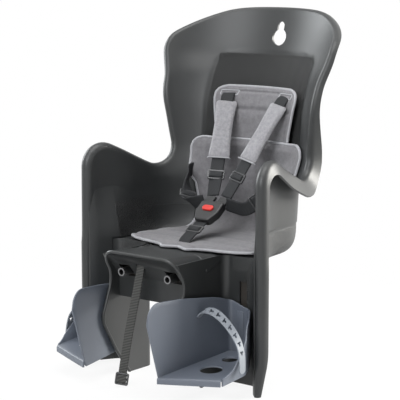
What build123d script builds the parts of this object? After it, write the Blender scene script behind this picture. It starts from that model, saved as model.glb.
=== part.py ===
"""Child bike seat for the back of a bicycle, carried on a two-legged steel bow.

Millimetres. +X is the child's left, -Y the front, +Z up.
The origin lies midway between the two bow sockets, at their mouths.
"""
import math
import os

from build123d import *

# Seat shell
WALL = 4.0
RIM_REACH = 20.0
RIM_DEPTH = 9.0
RIM_ROLL = 5.0
PAN_Z = 31.0
PAN_DROP = 0.6
FRONT_X = 190.0
FRONT_Y = 62.0
FRONT_OVERRUN = 15.0
CALF_Y = 118.0
CALF_ROUND = 14.0
FLARE_X = 158.0
FLARE_ROUND = 24.0
MEDIAL_X = 86.0
GUARD_BOTTOM = -198.0
# Plan sections of the back and bucket: height, back centre y, hip half width, hip y
SECTIONS = [
    (27.0, 268.0, 130.0, 222.0),
    (36.0, 292.0, 147.0, 228.0),
    (62.0, 306.0, 154.0, 230.0),
    (130.0, 319.0, 157.0, 231.0),
    (190.0, 329.0, 163.0, 258.0),
    (265.0, 341.0, 168.0, 260.0),
    (320.0, 361.0, 175.0, 266.0),
    (375.0, 388.0, 187.0, 288.0),
    (460.0, 412.0, 194.0, 312.0),
]
FULLNESS_X = 0.6
FULLNESS_Y = 0.28
CURVE_STEPS = 12
# Rim seen from the side: y, z and corner radius, from the top of the back to the leg guard
TOP_Z = 452.0
RIM_LINE = [
    (395.0, TOP_Z, 80.0),
    (290.0, 395.0, 60.0),
    (257.0, 290.0, 120.0),
    (266.0, 139.0, 38.0),
    (FRONT_Y, 225.0, 42.0),
]
BEHIND_Y = 470.0
# Front edge of the walls between the legs: y, z and corner radius
GUARD_LINE = [
    (-22.0, 48.0, 0.0),
    (8.0, -2.0, 30.0),
    (8.0, -24.0, 60.0),
    (-17.0, -89.0, 30.0),
    (20.0, -150.0, 40.0),
    (56.0, GUARD_BOTTOM, 0.0),
]

# Hood between the knees
HOOD_TOP = 41.0
HOOD_FRONT_Y = -35.0
HOOD_ROUND = 28.0
HOOD_FOOT_Z = -60.0
CEILING_TOP = (-14.0, 37.0)
PANEL_Y = 28.0
CEILING_FOOT_Z = -12.0
PANEL_FOOT_Z = -51.0
NOTCH_WIDTH = 26.0
NOTCH_TOP = 12.0

# Openings in the shell
KEYHOLE_Z = 395.0
KEYHOLE_RADIUS = 14.0
KEYHOLE_SLOT_TOP = 423.0
KEYHOLE_SLOT_WIDTH = 13.0
SHOULDER_SLOT = (65.0, 292.0)
WAIST_SLOT = (116.0, 146.0)
CROTCH_SLOT_Y = 110.0
SLOT_CLEARANCE = 2.0
STRAP_END_GAP = 0.8
SHOULDER_END_GAP = 3.6

# Pad
PAD_THICK = 9.0
PAD_GAP = 0.9
PAD_LIFT = 3.0
BACK_PAD = [
    (0.0, 312.0), (90.0, 312.0), (94.0, 298.0), (82.0, 222.0), (88.0, 214.0), (118.0, 214.0),
    (128.0, 204.0), (126.0, 138.0), (110.0, 120.0), (106.0, 70.0),
    (106.0, PAN_Z + PAD_LIFT), (0.0, PAN_Z + PAD_LIFT),
]
SEAT_PAD = [
    (0.0, 92.0), (30.0, 80.0), (46.0, 94.0), (96.0, 106.0), (138.0, 124.0), (140.0, 150.0), (126.0, 214.0),
    (104.0, 262.0), (0.0, 290.0),
]

# Harness
WEB_WIDTH = 25.0
WEB_THICK = 2.0
BUCKLE_PLANE = Plane(origin=(0, 180, 88), x_dir=(1, 0, 0), z_dir=(0, -0.605, 0.796))
BUCKLE_WIDTH = 50.0
BUCKLE_LENGTH = 48.0
BUCKLE_THICK = 14.0
BUTTON_LENGTH = 24.0
BUTTON_WIDTH = 12.0
BUTTON_PROUD = 3.0
BUTTON_DEPTH = 6.0
BUTTON_TRAVEL = 2.5
BUTTON_CLEARANCE = 0.4
TONGUE_X = 15.0
TONGUE_WIDTH = 20.0
TONGUE_LENGTH = 26.0
TONGUE_THICK = 5.0
TONGUE_INSERT = 12.0
WAIST_BEND = (67.0, 202.0, 96.0)
SHOULDER_PAD_WIDTH = 40.0
SHOULDER_PAD_THICK = 7.0
SHOULDER_PAD_SPAN = (0.08, 0.62)
SLIDE_LENGTH = 18.0
SLIDE_WALL = 3.5
SLEEVE_GAP = 0.4
ANCHOR_LENGTH = 40.0
ANCHOR_HEIGHT = 14.0
ANCHOR_THICK = 5.0
ANCHOR_GAP = 0.3

# Safety strap: the points of its route, hanging from the hood
SAFETY_WIDTH = 15.0
SAFETY_THICK = 2.0
SAFETY_SLOT_CLEARANCE = 0.6
SAFETY_ROUTE = [(-14, 11, 24), (-16, 4, -14), (-20, -7, -66), (-25, -18, -122), (-29, -25, -174)]
SAFETY_BEND_SHARE = 0.45
SAFETY_SLIDE_LENGTH = 22.0
SAFETY_SLIDE_WIDTH = 24.0
SAFETY_SLIDE_THICK = 7.0

# Bow mount under the hood
SOCKET_X = 53.0
SOCKET_RADIUS = 5.1
SLEEVE_RADIUS = 7.5
SLEEVE_LENGTH = 112.0
BLOCK_FIT = 0.1
BLOCK_FRONT_Y = 36.0
BLOCK_SIDE_GAP = 0.6
BLOCK_BOTTOM = -24.0
BLOCK_TOP = 27.3
SCREW_RADIUS = 3.0
SCREW_HEAD_RADIUS = 5.5
SCREW_HEAD_HEIGHT = 4.0
SCREW_PLACES = [(34.0, 48.0), (34.0, 104.0)]
CLAMP_BOLT_RADIUS = 4.0
CLAMP_BOLT_Y = 76.0
CLAMP_HEAD_RADIUS = 7.5
CLAMP_HEAD_HEIGHT = 5.5
CLAMP_HEAD_DROP = 10.0

# Footrests
FOOT_WALL = 3.0
FOOT_PLAN = [(102.0, 113.0), (148.0, 113.0), (174.0, 76.0), (190.0, 44.0), (191.0, -14.0), (84.0, -62.0)]
FOOT_MEDIAL_FRONT = (84.0, -94.0)
FOOT_FLOOR_HEEL = -138.0
FOOT_FLOOR_SLOPE = 5.0
FOOT_SKIRT = 11.0
# Upper edge of the footrest seen from the side: y and z
MEDIAL_EDGE = [(120.0, -48.0), (40.0, -31.0), (-60.0, -21.0), (-82.0, -26.0), (-94.0, -58.0), (-66.0, -168.0)]
LATERAL_EDGE = [(120.0, -62.0), (62.0, -66.0), (36.0, -98.0), (12.0, -112.0), (-20.0, -150.0)]
FOOT_HOLES = [(141.0, 12.0, 20.0), (136.0, 70.0, 14.0)]
FOOT_SLOT_X = 128.0
FOOT_SLOT_WIDTH = 16.0
FOOT_SLOT_TOP = -13.0
NECK_TOP = -64.0
NECK_BOTTOM = -112.0
NECK_CLEARANCE = 1.0
FOOT_DOWN = 30.0
SLIDER_WIDTH = 40.0
SLIDER_THICK = 11.0
SLIDER_TOP = 3.0
SLIDER_BOTTOM = -118.0
SLIDER_GAP = 0.4
FOOT_SCREW_RADIUS = 2.5
FOOT_SCREW_HEAD = 5.0
FOOT_SCREW_HEIGHT = 3.0
RELEASE_Z = -10.0
RELEASE_RADIUS = 4.0
RELEASE_LENGTH = 26.0
RELEASE_PROUD = 16.0
RELEASE_TRAVEL = 4.0
RELEASE_CLEARANCE = 0.35

# Rubber foot straps
FOOT_STRAP_WIDTH = 15.0
FOOT_STRAP_THICK = 2.5
FOOT_STRAP_Y = 26.0
FOOT_STRAP_MEDIAL = (100.6, -60.0)
FOOT_STRAP_CROWN = (156.0, -62.0)
FOOT_STRAP_RIM = (196.5, -98.0)
FOOT_STRAP_END = (199.0, -145.0)
FOOT_STRAP_HOLES = 7

SPAN = 1000.0


def block(low, high):
    """Box between two corners."""
    size = [b - a for a, b in zip(low, high)]
    middle = [(a + b) / 2 for a, b in zip(low, high)]
    return Pos(*middle) * Box(*size)


def both_sides(x, low, high):
    """A box on the left side, given by half width about x, and its mirror image."""
    left = block((x + low[0], low[1], low[2]), (x + high[0], high[1], high[2]))
    return left + mirror(left, about=Plane.YZ)


def rounded(points):
    """Closed outline from rows of two coordinates and a corner radius."""
    corners = [(a, b) for a, b, _ in points]
    radii = [radius for _, _, radius in points]
    return make_face(FilletPolyline(*corners, radius=radii, close=True))


def side_prism(face, half_width=SPAN):
    """Prism across the seat of an outline drawn in y and z."""
    return extrude(Plane.YZ * face, amount=half_width, both=True)


def front_prism(face, depth=SPAN):
    """Prism along the seat of an outline drawn in x and z."""
    return extrude(Plane.XZ * face, amount=depth, both=True)


def plan_curve(row, shift):
    """Plan line of the shell at one height, shifted outwards from its inner face."""
    height, centre_y, hip_x, hip_y = row
    shoulder = (hip_x * FULLNESS_X, centre_y - (centre_y - hip_y) * FULLNESS_Y)
    wing_middle = (hip_x + (FRONT_X - hip_x) * 0.36, (hip_y + FRONT_Y) / 2)
    front = (FRONT_X + 3, FRONT_Y - FRONT_OVERRUN)
    behind_front = (FRONT_X - 5, FRONT_Y + 2 * FRONT_OVERRUN)
    left = [front, behind_front, wing_middle, (hip_x, hip_y), shoulder]
    points = [(-x, y) for x, y in left] + [(0, centre_y)] + left[::-1]
    line = Spline([(x, y, height) for x, y in points])
    steps = [i / CURVE_STEPS for i in range(CURVE_STEPS + 1)]
    return Spline([(line @ t) + (line % t).rotate(Axis.Z, 90) * shift for t in steps])


def section(row, inner, outer):
    """Closed plan section of a wall between two shifts from the shell's inner face."""
    near = plan_curve(row, inner)
    far = plan_curve(row, outer)
    return make_face([near, far, Line(near @ 0, far @ 0), Line(near @ 1, far @ 1)])


def lofted_wall(rows, inner, outer):
    """Wall that follows the back and bucket."""
    return loft([section(row, inner, outer) for row in rows])


def filled(row, shift):
    """Flat face inside the plan line of one height."""
    line = plan_curve(row, shift)
    return make_face([line, Line(line @ 0, line @ 1)])


def guard_path(shift):
    """Plan outline of one leg well, shifted away from the leg."""
    reach = ((FRONT_X - FLARE_X) * 1.15, (FRONT_Y - CALF_Y) * 1.15)
    points = [
        (MEDIAL_X - shift, -SPAN),
        (MEDIAL_X - shift, CALF_Y + shift),
        (FLARE_X + shift * 0.5, CALF_Y + shift),
        (FLARE_X + reach[0] + shift, CALF_Y + reach[1] + shift * 0.5),
        (FLARE_X + reach[0] + shift, -SPAN),
    ]
    radii = [0, CALF_ROUND + shift, FLARE_ROUND + shift, 0, 0]
    return make_face(FilletPolyline(*points, radius=radii, close=True))


def hood_section(y, top, shift):
    """Arched section of the hood at one place along the seat."""
    half = MEDIAL_X - shift
    corners = [(-half, HOOD_FOOT_Z), (-half, top - shift), (half, top - shift), (half, HOOD_FOOT_Z)]
    radii = [0, HOOD_ROUND - shift, HOOD_ROUND - shift, 0]
    arch = make_face(FilletPolyline(*corners, radius=radii, close=True))
    return Plane(origin=(0, y, 0), x_dir=(1, 0, 0), z_dir=(0, -1, 0)) * arch


def hood_solid(shift):
    """Hood body, shrunk by a shift on every side."""
    rear = hood_section(CALF_Y + WALL, PAN_Z, shift)
    front = hood_section(HOOD_FRONT_Y, HOOD_TOP, shift)
    return loft([rear, front])


def rolled_rim(side):
    """Rim inside a side outline: a flange turned outwards over a rounded crest."""
    band = side_prism(side) - side_prism(offset(side, amount=-RIM_DEPTH))
    flange = lofted_wall(SECTIONS, WALL / 2, RIM_REACH) & band
    smooth_faces = [face for face in flange.faces() if face.geom_type == GeomType.BSPLINE]
    outside = max(smooth_faces, key=lambda face: face.area)
    outline = side.faces()[0].outer_wire()
    crest = []
    for edge in outside.edges():
        middle = edge @ 0.5
        at_outline = outline.distance_to(Vertex(middle.Y, middle.Z, 0)) < WALL / 10
        if at_outline and middle.Z > SECTIONS[0][0] + WALL:
            crest.append(edge)
    return fillet(crest, RIM_ROLL)


def make_shell():
    """The one-piece moulding: back, bucket, wings, leg guards and hood."""
    outline = RIM_LINE + [(FRONT_Y, GUARD_BOTTOM, 0.0), (BEHIND_Y, GUARD_BOTTOM, 0.0), (BEHIND_Y, TOP_Z, 0.0)]
    side = rounded(outline)
    kept = side_prism(side)
    back = lofted_wall(SECTIONS, 0, WALL) & kept
    rim = rolled_rim(side)

    well = guard_path(0)
    guard_height = PAN_Z - GUARD_BOTTOM
    guard = extrude(Pos(0, 0, GUARD_BOTTOM) * (guard_path(WALL) - well), amount=guard_height)
    guard = guard + mirror(guard, about=Plane.YZ)
    guard_front = rounded(GUARD_LINE + [(BEHIND_Y, GUARD_BOTTOM, 0.0), (BEHIND_Y, GUARD_LINE[0][1], 0.0)])
    between_knees = side_prism(guard_front)
    guard = guard & between_knees & block((-SPAN, -SPAN, GUARD_BOTTOM), (SPAN, CALF_Y + WALL, PAN_Z))
    outside_front = block((MEDIAL_X + 1, -SPAN, -SPAN), (SPAN, FRONT_Y, SPAN))
    guard = guard - outside_front - mirror(outside_front, about=Plane.YZ)

    post_low = (-WALL, FRONT_Y, GUARD_BOTTOM)
    post = both_sides(FRONT_X, post_low, (RIM_REACH, FRONT_Y + RIM_DEPTH, PAN_Z))
    post = fillet(post.edges().filter_by(Axis.Z).group_by(Axis.Y)[0], RIM_ROLL / 2)

    pan = extrude(Pos(0, 0, -PAN_DROP) * filled(SECTIONS[0], WALL), amount=PAN_Z - SECTIONS[0][0] + PAN_DROP)
    wells = extrude(well, amount=SPAN, both=True)
    pan = pan - wells - mirror(wells, about=Plane.YZ)
    pan = pan & block((-SPAN, FRONT_Y, -SPAN), (SPAN, SPAN, SPAN))
    pan = pan - block((-MEDIAL_X, -SPAN, -SPAN), (MEDIAL_X, CALF_Y, SPAN))

    hood_outside = hood_solid(0)
    hood = (hood_outside - hood_solid(WALL)) & block((-SPAN, -SPAN, PANEL_FOOT_Z), (SPAN, SPAN, SPAN))
    hood = hood & between_knees
    top_y, top_z = CEILING_TOP
    inner = [(top_y, top_z), (PANEL_Y, CEILING_FOOT_Z), (PANEL_Y, PANEL_FOOT_Z)]
    outer = [(PANEL_Y + WALL, PANEL_FOOT_Z), (PANEL_Y + WALL, CEILING_FOOT_Z), (top_y + WALL * 1.5, top_z)]
    ceiling = side_prism(make_face(Polyline(*inner, *outer, close=True))) & hood_outside
    shell = back + rim + guard + post + pan + hood + ceiling
    return shell - shell_openings()


def shell_openings():
    """Everything that goes through the shell."""
    bulb = Pos(0, 0, KEYHOLE_Z) * Rot(90, 0, 0) * Cylinder(KEYHOLE_RADIUS, SPAN)
    bulb = bulb & block((-SPAN, 0, -SPAN), (SPAN, SPAN, SPAN))
    half_slot = KEYHOLE_SLOT_WIDTH / 2
    slot = block((-half_slot, 0, KEYHOLE_Z), (half_slot, SPAN, KEYHOLE_SLOT_TOP - half_slot))
    end = Pos(0, SPAN / 2, KEYHOLE_SLOT_TOP - half_slot) * Rot(90, 0, 0) * Cylinder(half_slot, SPAN)
    half_notch = NOTCH_WIDTH / 2
    notch = both_sides(SOCKET_X, (-half_notch, -SPAN, CEILING_FOOT_Z), (half_notch, PANEL_Y + WALL, NOTCH_TOP))
    foot_slot_bottom = NECK_BOTTOM - FOOT_DOWN - NECK_CLEARANCE
    half_foot = FOOT_SLOT_WIDTH / 2
    foot_slot = both_sides(FOOT_SLOT_X, (-half_foot, 0, foot_slot_bottom), (half_foot, SPAN, FOOT_SLOT_TOP))
    safety = strap_slot(SAFETY_ROUTE[0], SAFETY_WIDTH)
    return bulb + slot + end + notch + foot_slot + safety + harness_slots()


def strap_slot(place, width):
    """Upright slot round a strap that hangs from a place."""
    half = width / 2 + SAFETY_SLOT_CLEARANCE
    deep = SAFETY_THICK + SLOT_CLEARANCE
    x, y, z = place
    return block((x - half, y - deep - 4, z - 16), (x + half, y + deep, z + 3))


def harness_slots():
    """Slots for the shoulder, waist and crotch straps."""
    half = WEB_WIDTH / 2 + SLOT_CLEARANCE
    thin = WEB_THICK / 2 + SLOT_CLEARANCE
    x, z = SHOULDER_SLOT
    shoulder = both_sides(x, (-half, FRONT_Y + 150, z - thin), (half, SPAN, z + thin))
    x, z = WAIST_SLOT
    waist = both_sides(x, (-thin, FRONT_Y + 150, z - half), (thin, SPAN, z + half))
    crotch = block((-half, CROTCH_SLOT_Y - thin, 0), (half, CROTCH_SLOT_Y + thin, SPAN / 5))
    return shoulder + waist + crotch


def make_pad():
    """Felt pad: one piece from the shoulders to the front of the seat."""
    wall = lofted_wall(SECTIONS[1:], -PAD_GAP - PAD_THICK, -PAD_GAP)
    right = [(-x, z) for x, z in BACK_PAD[1:-1]]
    outline = make_face(Polyline(*BACK_PAD, *right[::-1], close=True))
    back_part = wall & front_prism(outline)
    right = [(-x, y) for x, y in SEAT_PAD[1:-1]]
    seat_plan = make_face(Polyline(*SEAT_PAD, *right[::-1], close=True))
    seat_part = extrude(Pos(0, 0, PAN_Z + PAD_LIFT) * seat_plan, amount=PAD_THICK)
    room = loft([filled(row, -PAD_GAP) for row in SECTIONS[:3]])
    return back_part + (seat_part & room) - harness_slots()


def back_y(shell, x, z):
    """Rearmost point of the shell on a line along the seat."""
    hits = shell.find_intersection_points(Axis((x, 0, z), (0, 1, 0)))
    return max(point.Y for point, _ in hits)


def band(points, across, width, thick):
    """Flat band along straight runs, with its width as near to a direction as it can be."""
    runs = []
    for start, end in zip(points[:-1], points[1:]):
        along = Vector(*end) - Vector(*start)
        step = along.normalized()
        side = (Vector(*across) - step * Vector(*across).dot(step)).normalized()
        place = Plane(origin=start, x_dir=step, z_dir=step.cross(side))
        runs.append(place * Pos(along.length / 2, 0, 0) * Box(along.length, width, thick))
        runs.append(place * Rot(90, 0, 0) * Cylinder(thick / 2, width))
    solid = runs[0]
    for run in runs[2:]:
        solid = solid + run
    return solid


def on_band(start, end, across, share):
    """Plane on a straight run of band, at a share of its length, x along the run."""
    along = Vector(*end) - Vector(*start)
    step = along.normalized()
    side = (Vector(*across) - step * Vector(*across).dot(step)).normalized()
    return Plane(origin=Vector(*start) + along * share, x_dir=step, z_dir=step.cross(side))


def sleeve(length, width, thick, web_width, web_thick):
    """Flat sleeve round a band, x along the band."""
    hole = Box(length + 2, web_width + 2 * SLEEVE_GAP, web_thick + 2 * SLEEVE_GAP)
    body = Box(length, width, thick)
    body = fillet(body.edges().filter_by(Axis.X), (thick - web_thick) / 2 - SLEEVE_GAP)
    return body - hole


def make_slide():
    """Ladder slide on a strap: a frame with a bar on each face."""
    width = WEB_WIDTH + 2 * SLIDE_WALL
    return sleeve(SLIDE_LENGTH, width, WEB_THICK + 2 * SLIDE_WALL, WEB_WIDTH, WEB_THICK)


def make_harness(shell):
    """Straps, pads, slides and anchors of the left side, by name, and the crotch strap's pieces."""
    pieces = {}
    across = (1, 0, 0)
    x, z = SHOULDER_SLOT
    rear = back_y(shell, x - ANCHOR_LENGTH / 2, z + ANCHOR_HEIGHT / 2) + ANCHOR_GAP
    tongue_end = BUCKLE_LENGTH / 2 + TONGUE_LENGTH - TONGUE_INSERT
    tongue_top = BUCKLE_PLANE.from_local_coords((TONGUE_X, tongue_end + SHOULDER_END_GAP, 0))
    front_of_pad = (x, rear - WALL - PAD_THICK - 17, z)
    route = [(x, rear, z), front_of_pad, tuple(tongue_top)]
    pieces["shoulder_strap"] = band(route, across, WEB_WIDTH, WEB_THICK)
    pieces["shoulder_anchor"] = block(
        (x - ANCHOR_LENGTH / 2, rear, z - ANCHOR_HEIGHT / 2),
        (x + ANCHOR_LENGTH / 2, rear + ANCHOR_THICK, z + ANCHOR_HEIGHT / 2),
    )
    low, high = SHOULDER_PAD_SPAN
    length = (Vector(*route[2]) - Vector(*route[1])).length * (high - low)
    place = on_band(route[1], route[2], across, (low + high) / 2)
    padding = sleeve(length, SHOULDER_PAD_WIDTH, SHOULDER_PAD_THICK, WEB_WIDTH, WEB_THICK)
    pieces["shoulder_pad"] = place * padding
    pieces["shoulder_slide"] = on_band(route[1], route[2], across, 0.8) * make_slide()

    x, z = WAIST_SLOT
    across = (0.1, -0.2, 1)
    rear = back_y(shell, x - ANCHOR_HEIGHT / 2, z + ANCHOR_LENGTH / 2) + ANCHOR_GAP
    tongue_side = BUCKLE_PLANE.from_local_coords(
        (TONGUE_X + TONGUE_WIDTH / 2 + STRAP_END_GAP, tongue_end - WEB_WIDTH / 2, 0)
    )
    front_of_pad = (x, rear - WALL - PAD_THICK - 24, z)
    route = [(x, rear, z), front_of_pad, WAIST_BEND, tuple(tongue_side)]
    pieces["waist_strap"] = band(route, across, WEB_WIDTH, WEB_THICK)
    pieces["waist_anchor"] = block(
        (x - ANCHOR_HEIGHT / 2, rear, z - ANCHOR_LENGTH / 2),
        (x + ANCHOR_HEIGHT / 2, rear + ANCHOR_THICK, z + ANCHOR_LENGTH / 2),
    )
    pieces["waist_slide"] = on_band(route[1], route[2], across, 0.72) * make_slide()
    return pieces


def make_crotch():
    """Crotch strap, its slide and its anchor under the pan."""
    foot = BUCKLE_PLANE.from_local_coords((0, -BUCKLE_LENGTH / 2 - STRAP_END_GAP, 0))
    anchor_top = PAN_Z - WALL - ANCHOR_GAP
    over_pad = PAN_Z + PAD_LIFT + PAD_THICK + WEB_THICK
    route = [(0, CROTCH_SLOT_Y, anchor_top), (0, CROTCH_SLOT_Y, over_pad), tuple(foot)]
    strap = band(route, (1, 0, 0), WEB_WIDTH, WEB_THICK)
    slide = on_band(route[1], route[2], (1, 0, 0), 0.62) * make_slide()
    anchor = block(
        (-ANCHOR_LENGTH / 2, CROTCH_SLOT_Y - ANCHOR_HEIGHT / 2, anchor_top - ANCHOR_THICK),
        (ANCHOR_LENGTH / 2, CROTCH_SLOT_Y + ANCHOR_HEIGHT / 2, anchor_top),
    )
    return strap, slide, anchor


def tongue_plate(clearance):
    """Left tongue of the buckle in the buckle's own plane, grown by a clearance."""
    middle = BUCKLE_LENGTH / 2 - TONGUE_INSERT + TONGUE_LENGTH / 2
    plate = Box(TONGUE_WIDTH + clearance * 2, TONGUE_LENGTH + clearance * 2, TONGUE_THICK + clearance * 2)
    return Pos(TONGUE_X, middle, 0) * plate


def make_buckle():
    """Buckle body, push button and left tongue."""
    half = BUCKLE_WIDTH / 2
    end = BUCKLE_LENGTH / 2
    outline = [
        (-half, end, 6.0), (half, end, 6.0), (half, -end * 0.2, 14.0), (half * 0.62, -end, 6.0),
        (-half * 0.62, -end, 6.0), (-half, -end * 0.2, 14.0),
    ]
    body = Pos(0, 0, -BUCKLE_THICK / 2) * extrude(rounded(outline), amount=BUCKLE_THICK)
    body = fillet(body.faces().sort_by(Axis.Z)[-1].edges(), 3.0)
    button_y = end * 0.18
    button_face = SlotOverall(BUTTON_LENGTH, BUTTON_WIDTH)
    pocket_face = SlotOverall(BUTTON_LENGTH + 2 * BUTTON_CLEARANCE, BUTTON_WIDTH + 2 * BUTTON_CLEARANCE)
    top = BUCKLE_THICK / 2
    pocket_floor = top - BUTTON_DEPTH - BUTTON_TRAVEL + BUTTON_PROUD - BUTTON_CLEARANCE
    pocket = Pos(0, button_y, pocket_floor) * extrude(pocket_face, amount=SPAN / 10)
    button_foot = top + BUTTON_PROUD - BUTTON_DEPTH
    button = Pos(0, button_y, button_foot) * extrude(button_face, amount=BUTTON_DEPTH)
    button = fillet(button.faces().sort_by(Axis.Z)[-1].edges(), 1.5)
    opening = tongue_plate(BUTTON_CLEARANCE)
    body = body - pocket - opening - mirror(opening, about=Plane.YZ)
    return BUCKLE_PLANE * body, BUCKLE_PLANE * button, BUCKLE_PLANE * tongue_plate(0)


def bend_radii(points, share):
    """Largest tangent arcs that the runs of a route leave room for."""
    radii = []
    for before, here, after in zip(points[:-2], points[1:-1], points[2:]):
        into = Vector(*here) - Vector(*before)
        out = Vector(*after) - Vector(*here)
        half_turn = into.get_angle(out) / 2
        radii.append(share * min(into.length, out.length) / math.tan(math.radians(half_turn)))
    return radii


def make_safety_strap():
    """Hanging strap and the ladder slide at its end."""
    radii = bend_radii(SAFETY_ROUTE, SAFETY_BEND_SHARE)
    print("safety strap bend radii", [round(radius) for radius in radii])
    path = FilletPolyline(*SAFETY_ROUTE, radius=radii)
    first = Vector(*SAFETY_ROUTE[1]) - Vector(*SAFETY_ROUTE[0])
    start = Plane(origin=SAFETY_ROUTE[0], x_dir=(1, 0, 0), z_dir=first)
    strap = sweep(start * Rectangle(SAFETY_WIDTH, SAFETY_THICK), path=path)
    end = on_band(SAFETY_ROUTE[-2], SAFETY_ROUTE[-1], (1, 0, 0), 1.0)
    slide = Box(SAFETY_SLIDE_LENGTH, SAFETY_SLIDE_WIDTH, SAFETY_SLIDE_THICK)
    slide = fillet(slide.edges().filter_by(Axis.Z), 4.0)
    return strap, end * Pos(SAFETY_SLIDE_LENGTH / 2, 0, 0) * slide


def along_seat(radius, length):
    """Rod that starts at the origin and runs towards the back."""
    return Pos(0, length / 2, 0) * Rot(90, 0, 0) * Cylinder(radius, length)


def upright(radius, low, high):
    """Upright round between two heights."""
    return Pos(0, 0, (low + high) / 2) * Cylinder(radius, high - low)


def make_mount():
    """Mount block, left bow sleeve, its screws and the clamp bolts."""
    tube = along_seat(SLEEVE_RADIUS, SLEEVE_LENGTH) - along_seat(SOCKET_RADIUS, SLEEVE_LENGTH)
    sleeve_left = Pos(SOCKET_X, 0, 0) * tube
    half_width = MEDIAL_X - WALL - BLOCK_SIDE_GAP
    body = block((-half_width, BLOCK_FRONT_Y, BLOCK_BOTTOM), (half_width, SLEEVE_LENGTH, BLOCK_TOP))
    body = fillet(body.edges().filter_by(Axis.Y).sort_by(Axis.Z)[-2:], HOOD_ROUND)
    cuts = Pos(SOCKET_X, 0, 0) * along_seat(SLEEVE_RADIUS + BLOCK_FIT, SLEEVE_LENGTH + 1)
    screws = []
    for x, y in SCREW_PLACES:
        head_top = BLOCK_BOTTOM + SCREW_HEAD_HEIGHT
        head = upright(SCREW_HEAD_RADIUS, BLOCK_BOTTOM, head_top)
        screws.append(Pos(x, y, 0) * (head + upright(SCREW_RADIUS, head_top, BLOCK_TOP)))
        counterbore = upright(SCREW_HEAD_RADIUS + BLOCK_FIT, BLOCK_BOTTOM - 1, head_top)
        shank_hole = upright(SCREW_RADIUS + BLOCK_FIT, BLOCK_BOTTOM, BLOCK_TOP + 1)
        cuts = cuts + Pos(x, y, 0) * (counterbore + shank_hole)
    bolt_top = -SLEEVE_RADIUS - BLOCK_FIT
    head_foot = BLOCK_BOTTOM - CLAMP_HEAD_DROP
    hexagon = extrude(Pos(0, 0, head_foot) * RegularPolygon(CLAMP_HEAD_RADIUS, 6), amount=CLAMP_HEAD_HEIGHT)
    bolt = Pos(SOCKET_X, CLAMP_BOLT_Y, 0) * (hexagon + upright(CLAMP_BOLT_RADIUS, head_foot, bolt_top))
    cuts = cuts + Pos(SOCKET_X, CLAMP_BOLT_Y, 0) * upright(CLAMP_BOLT_RADIUS + BLOCK_FIT, BLOCK_BOTTOM - 1, 0)
    crotch_room = ANCHOR_LENGTH / 2 + 2
    cuts = cuts + block((0, CROTCH_SLOT_Y - ANCHOR_HEIGHT, 0), (crotch_room, SPAN, SPAN))
    body = body - cuts - mirror(cuts, about=Plane.YZ)
    return body, sleeve_left, screws, bolt


def foot_prism(points):
    """Region under an edge line seen from the side."""
    low = GUARD_BOTTOM
    return side_prism(make_face(Polyline(*points, (points[-1][0], low), (points[0][0], low), close=True)))


def make_footrest():
    """Left footrest: floor, high medial wall, heel wall, low lateral wall and neck."""
    outline = make_face(FilletPolyline(*FOOT_PLAN, radius=[8, 14, 20, 30, 10, 6], close=True))
    inside = offset(outline, amount=-FOOT_WALL)
    height = NECK_TOP - GUARD_BOTTOM + SPAN / 5
    tall = extrude(Pos(0, 0, GUARD_BOTTOM) * (outline - inside), amount=height)
    front_x, front_y = FOOT_MEDIAL_FRONT
    heel_x, heel_y = FOOT_PLAN[0]
    medial_line = [(heel_x, heel_y - 10), (front_x, front_y), (front_x + FOOT_WALL, front_y)]
    medial_face = make_face(Polyline(*medial_line, (heel_x + FOOT_WALL, heel_y - 10), close=True))
    medial = extrude(Pos(0, 0, GUARD_BOTTOM) * medial_face, amount=height)
    floor_plane = Plane(origin=(0, heel_y, FOOT_FLOOR_HEEL), x_dir=(1, 0, 0), z_dir=(0, 0, 1)).rotated(
        (FOOT_FLOOR_SLOPE, 0, 0)
    )
    slab = floor_plane * block((-SPAN, -SPAN, -FOOT_WALL), (SPAN, SPAN, 0))
    above = floor_plane * block((-SPAN, -SPAN, -FOOT_SKIRT), (SPAN, SPAN, SPAN))
    floor = extrude(Pos(0, 0, GUARD_BOTTOM) * outline, amount=height) & slab
    middle_x = (FOOT_PLAN[1][0] + FOOT_PLAN[0][0]) / 2
    high_side = foot_prism(MEDIAL_EDGE) & block((0, -SPAN, -SPAN), (middle_x, SPAN, SPAN))
    low_side = foot_prism(LATERAL_EDGE) & block((middle_x, -SPAN, -SPAN), (SPAN, SPAN, SPAN))
    medial = medial & foot_prism(MEDIAL_EDGE) & above
    walls = tall & (high_side + low_side) & above
    lateral_front = Vector(*FOOT_PLAN[4]) + Vector(0, FOOT_WALL * 2)
    medial_front = Vector(*FOOT_PLAN[5]) + Vector(FOOT_WALL, FOOT_WALL * 2)
    ahead = Vector(0, FOOT_MEDIAL_FRONT[1] * 2)
    corners = [medial_front, lateral_front, lateral_front + ahead, medial_front + ahead]
    way_in = extrude(make_face(Polyline(*corners, close=True)), amount=SPAN, both=True)
    over_floor = floor_plane * block((-SPAN, -SPAN, 0), (SPAN, SPAN, SPAN))
    walls = walls - (way_in & over_floor)
    half = FOOT_SLOT_WIDTH / 2 - NECK_CLEARANCE
    neck_back = CALF_Y + WALL + SLIDER_GAP
    neck_low = (FOOT_SLOT_X - half, heel_y - FOOT_WALL, NECK_BOTTOM)
    neck = block(neck_low, (FOOT_SLOT_X + half, neck_back, NECK_TOP))
    rest = floor + walls + medial + neck
    for x, y, radius in FOOT_HOLES:
        rest = rest - Pos(x, y, 0) * upright(radius, GUARD_BOTTOM, NECK_BOTTOM)
    screw_z = (NECK_TOP + NECK_BOTTOM) / 2
    hole = Pos(FOOT_SLOT_X, heel_y, screw_z) * along_seat(FOOT_SCREW_RADIUS + BLOCK_FIT, SPAN)
    return rest - hole


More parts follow.
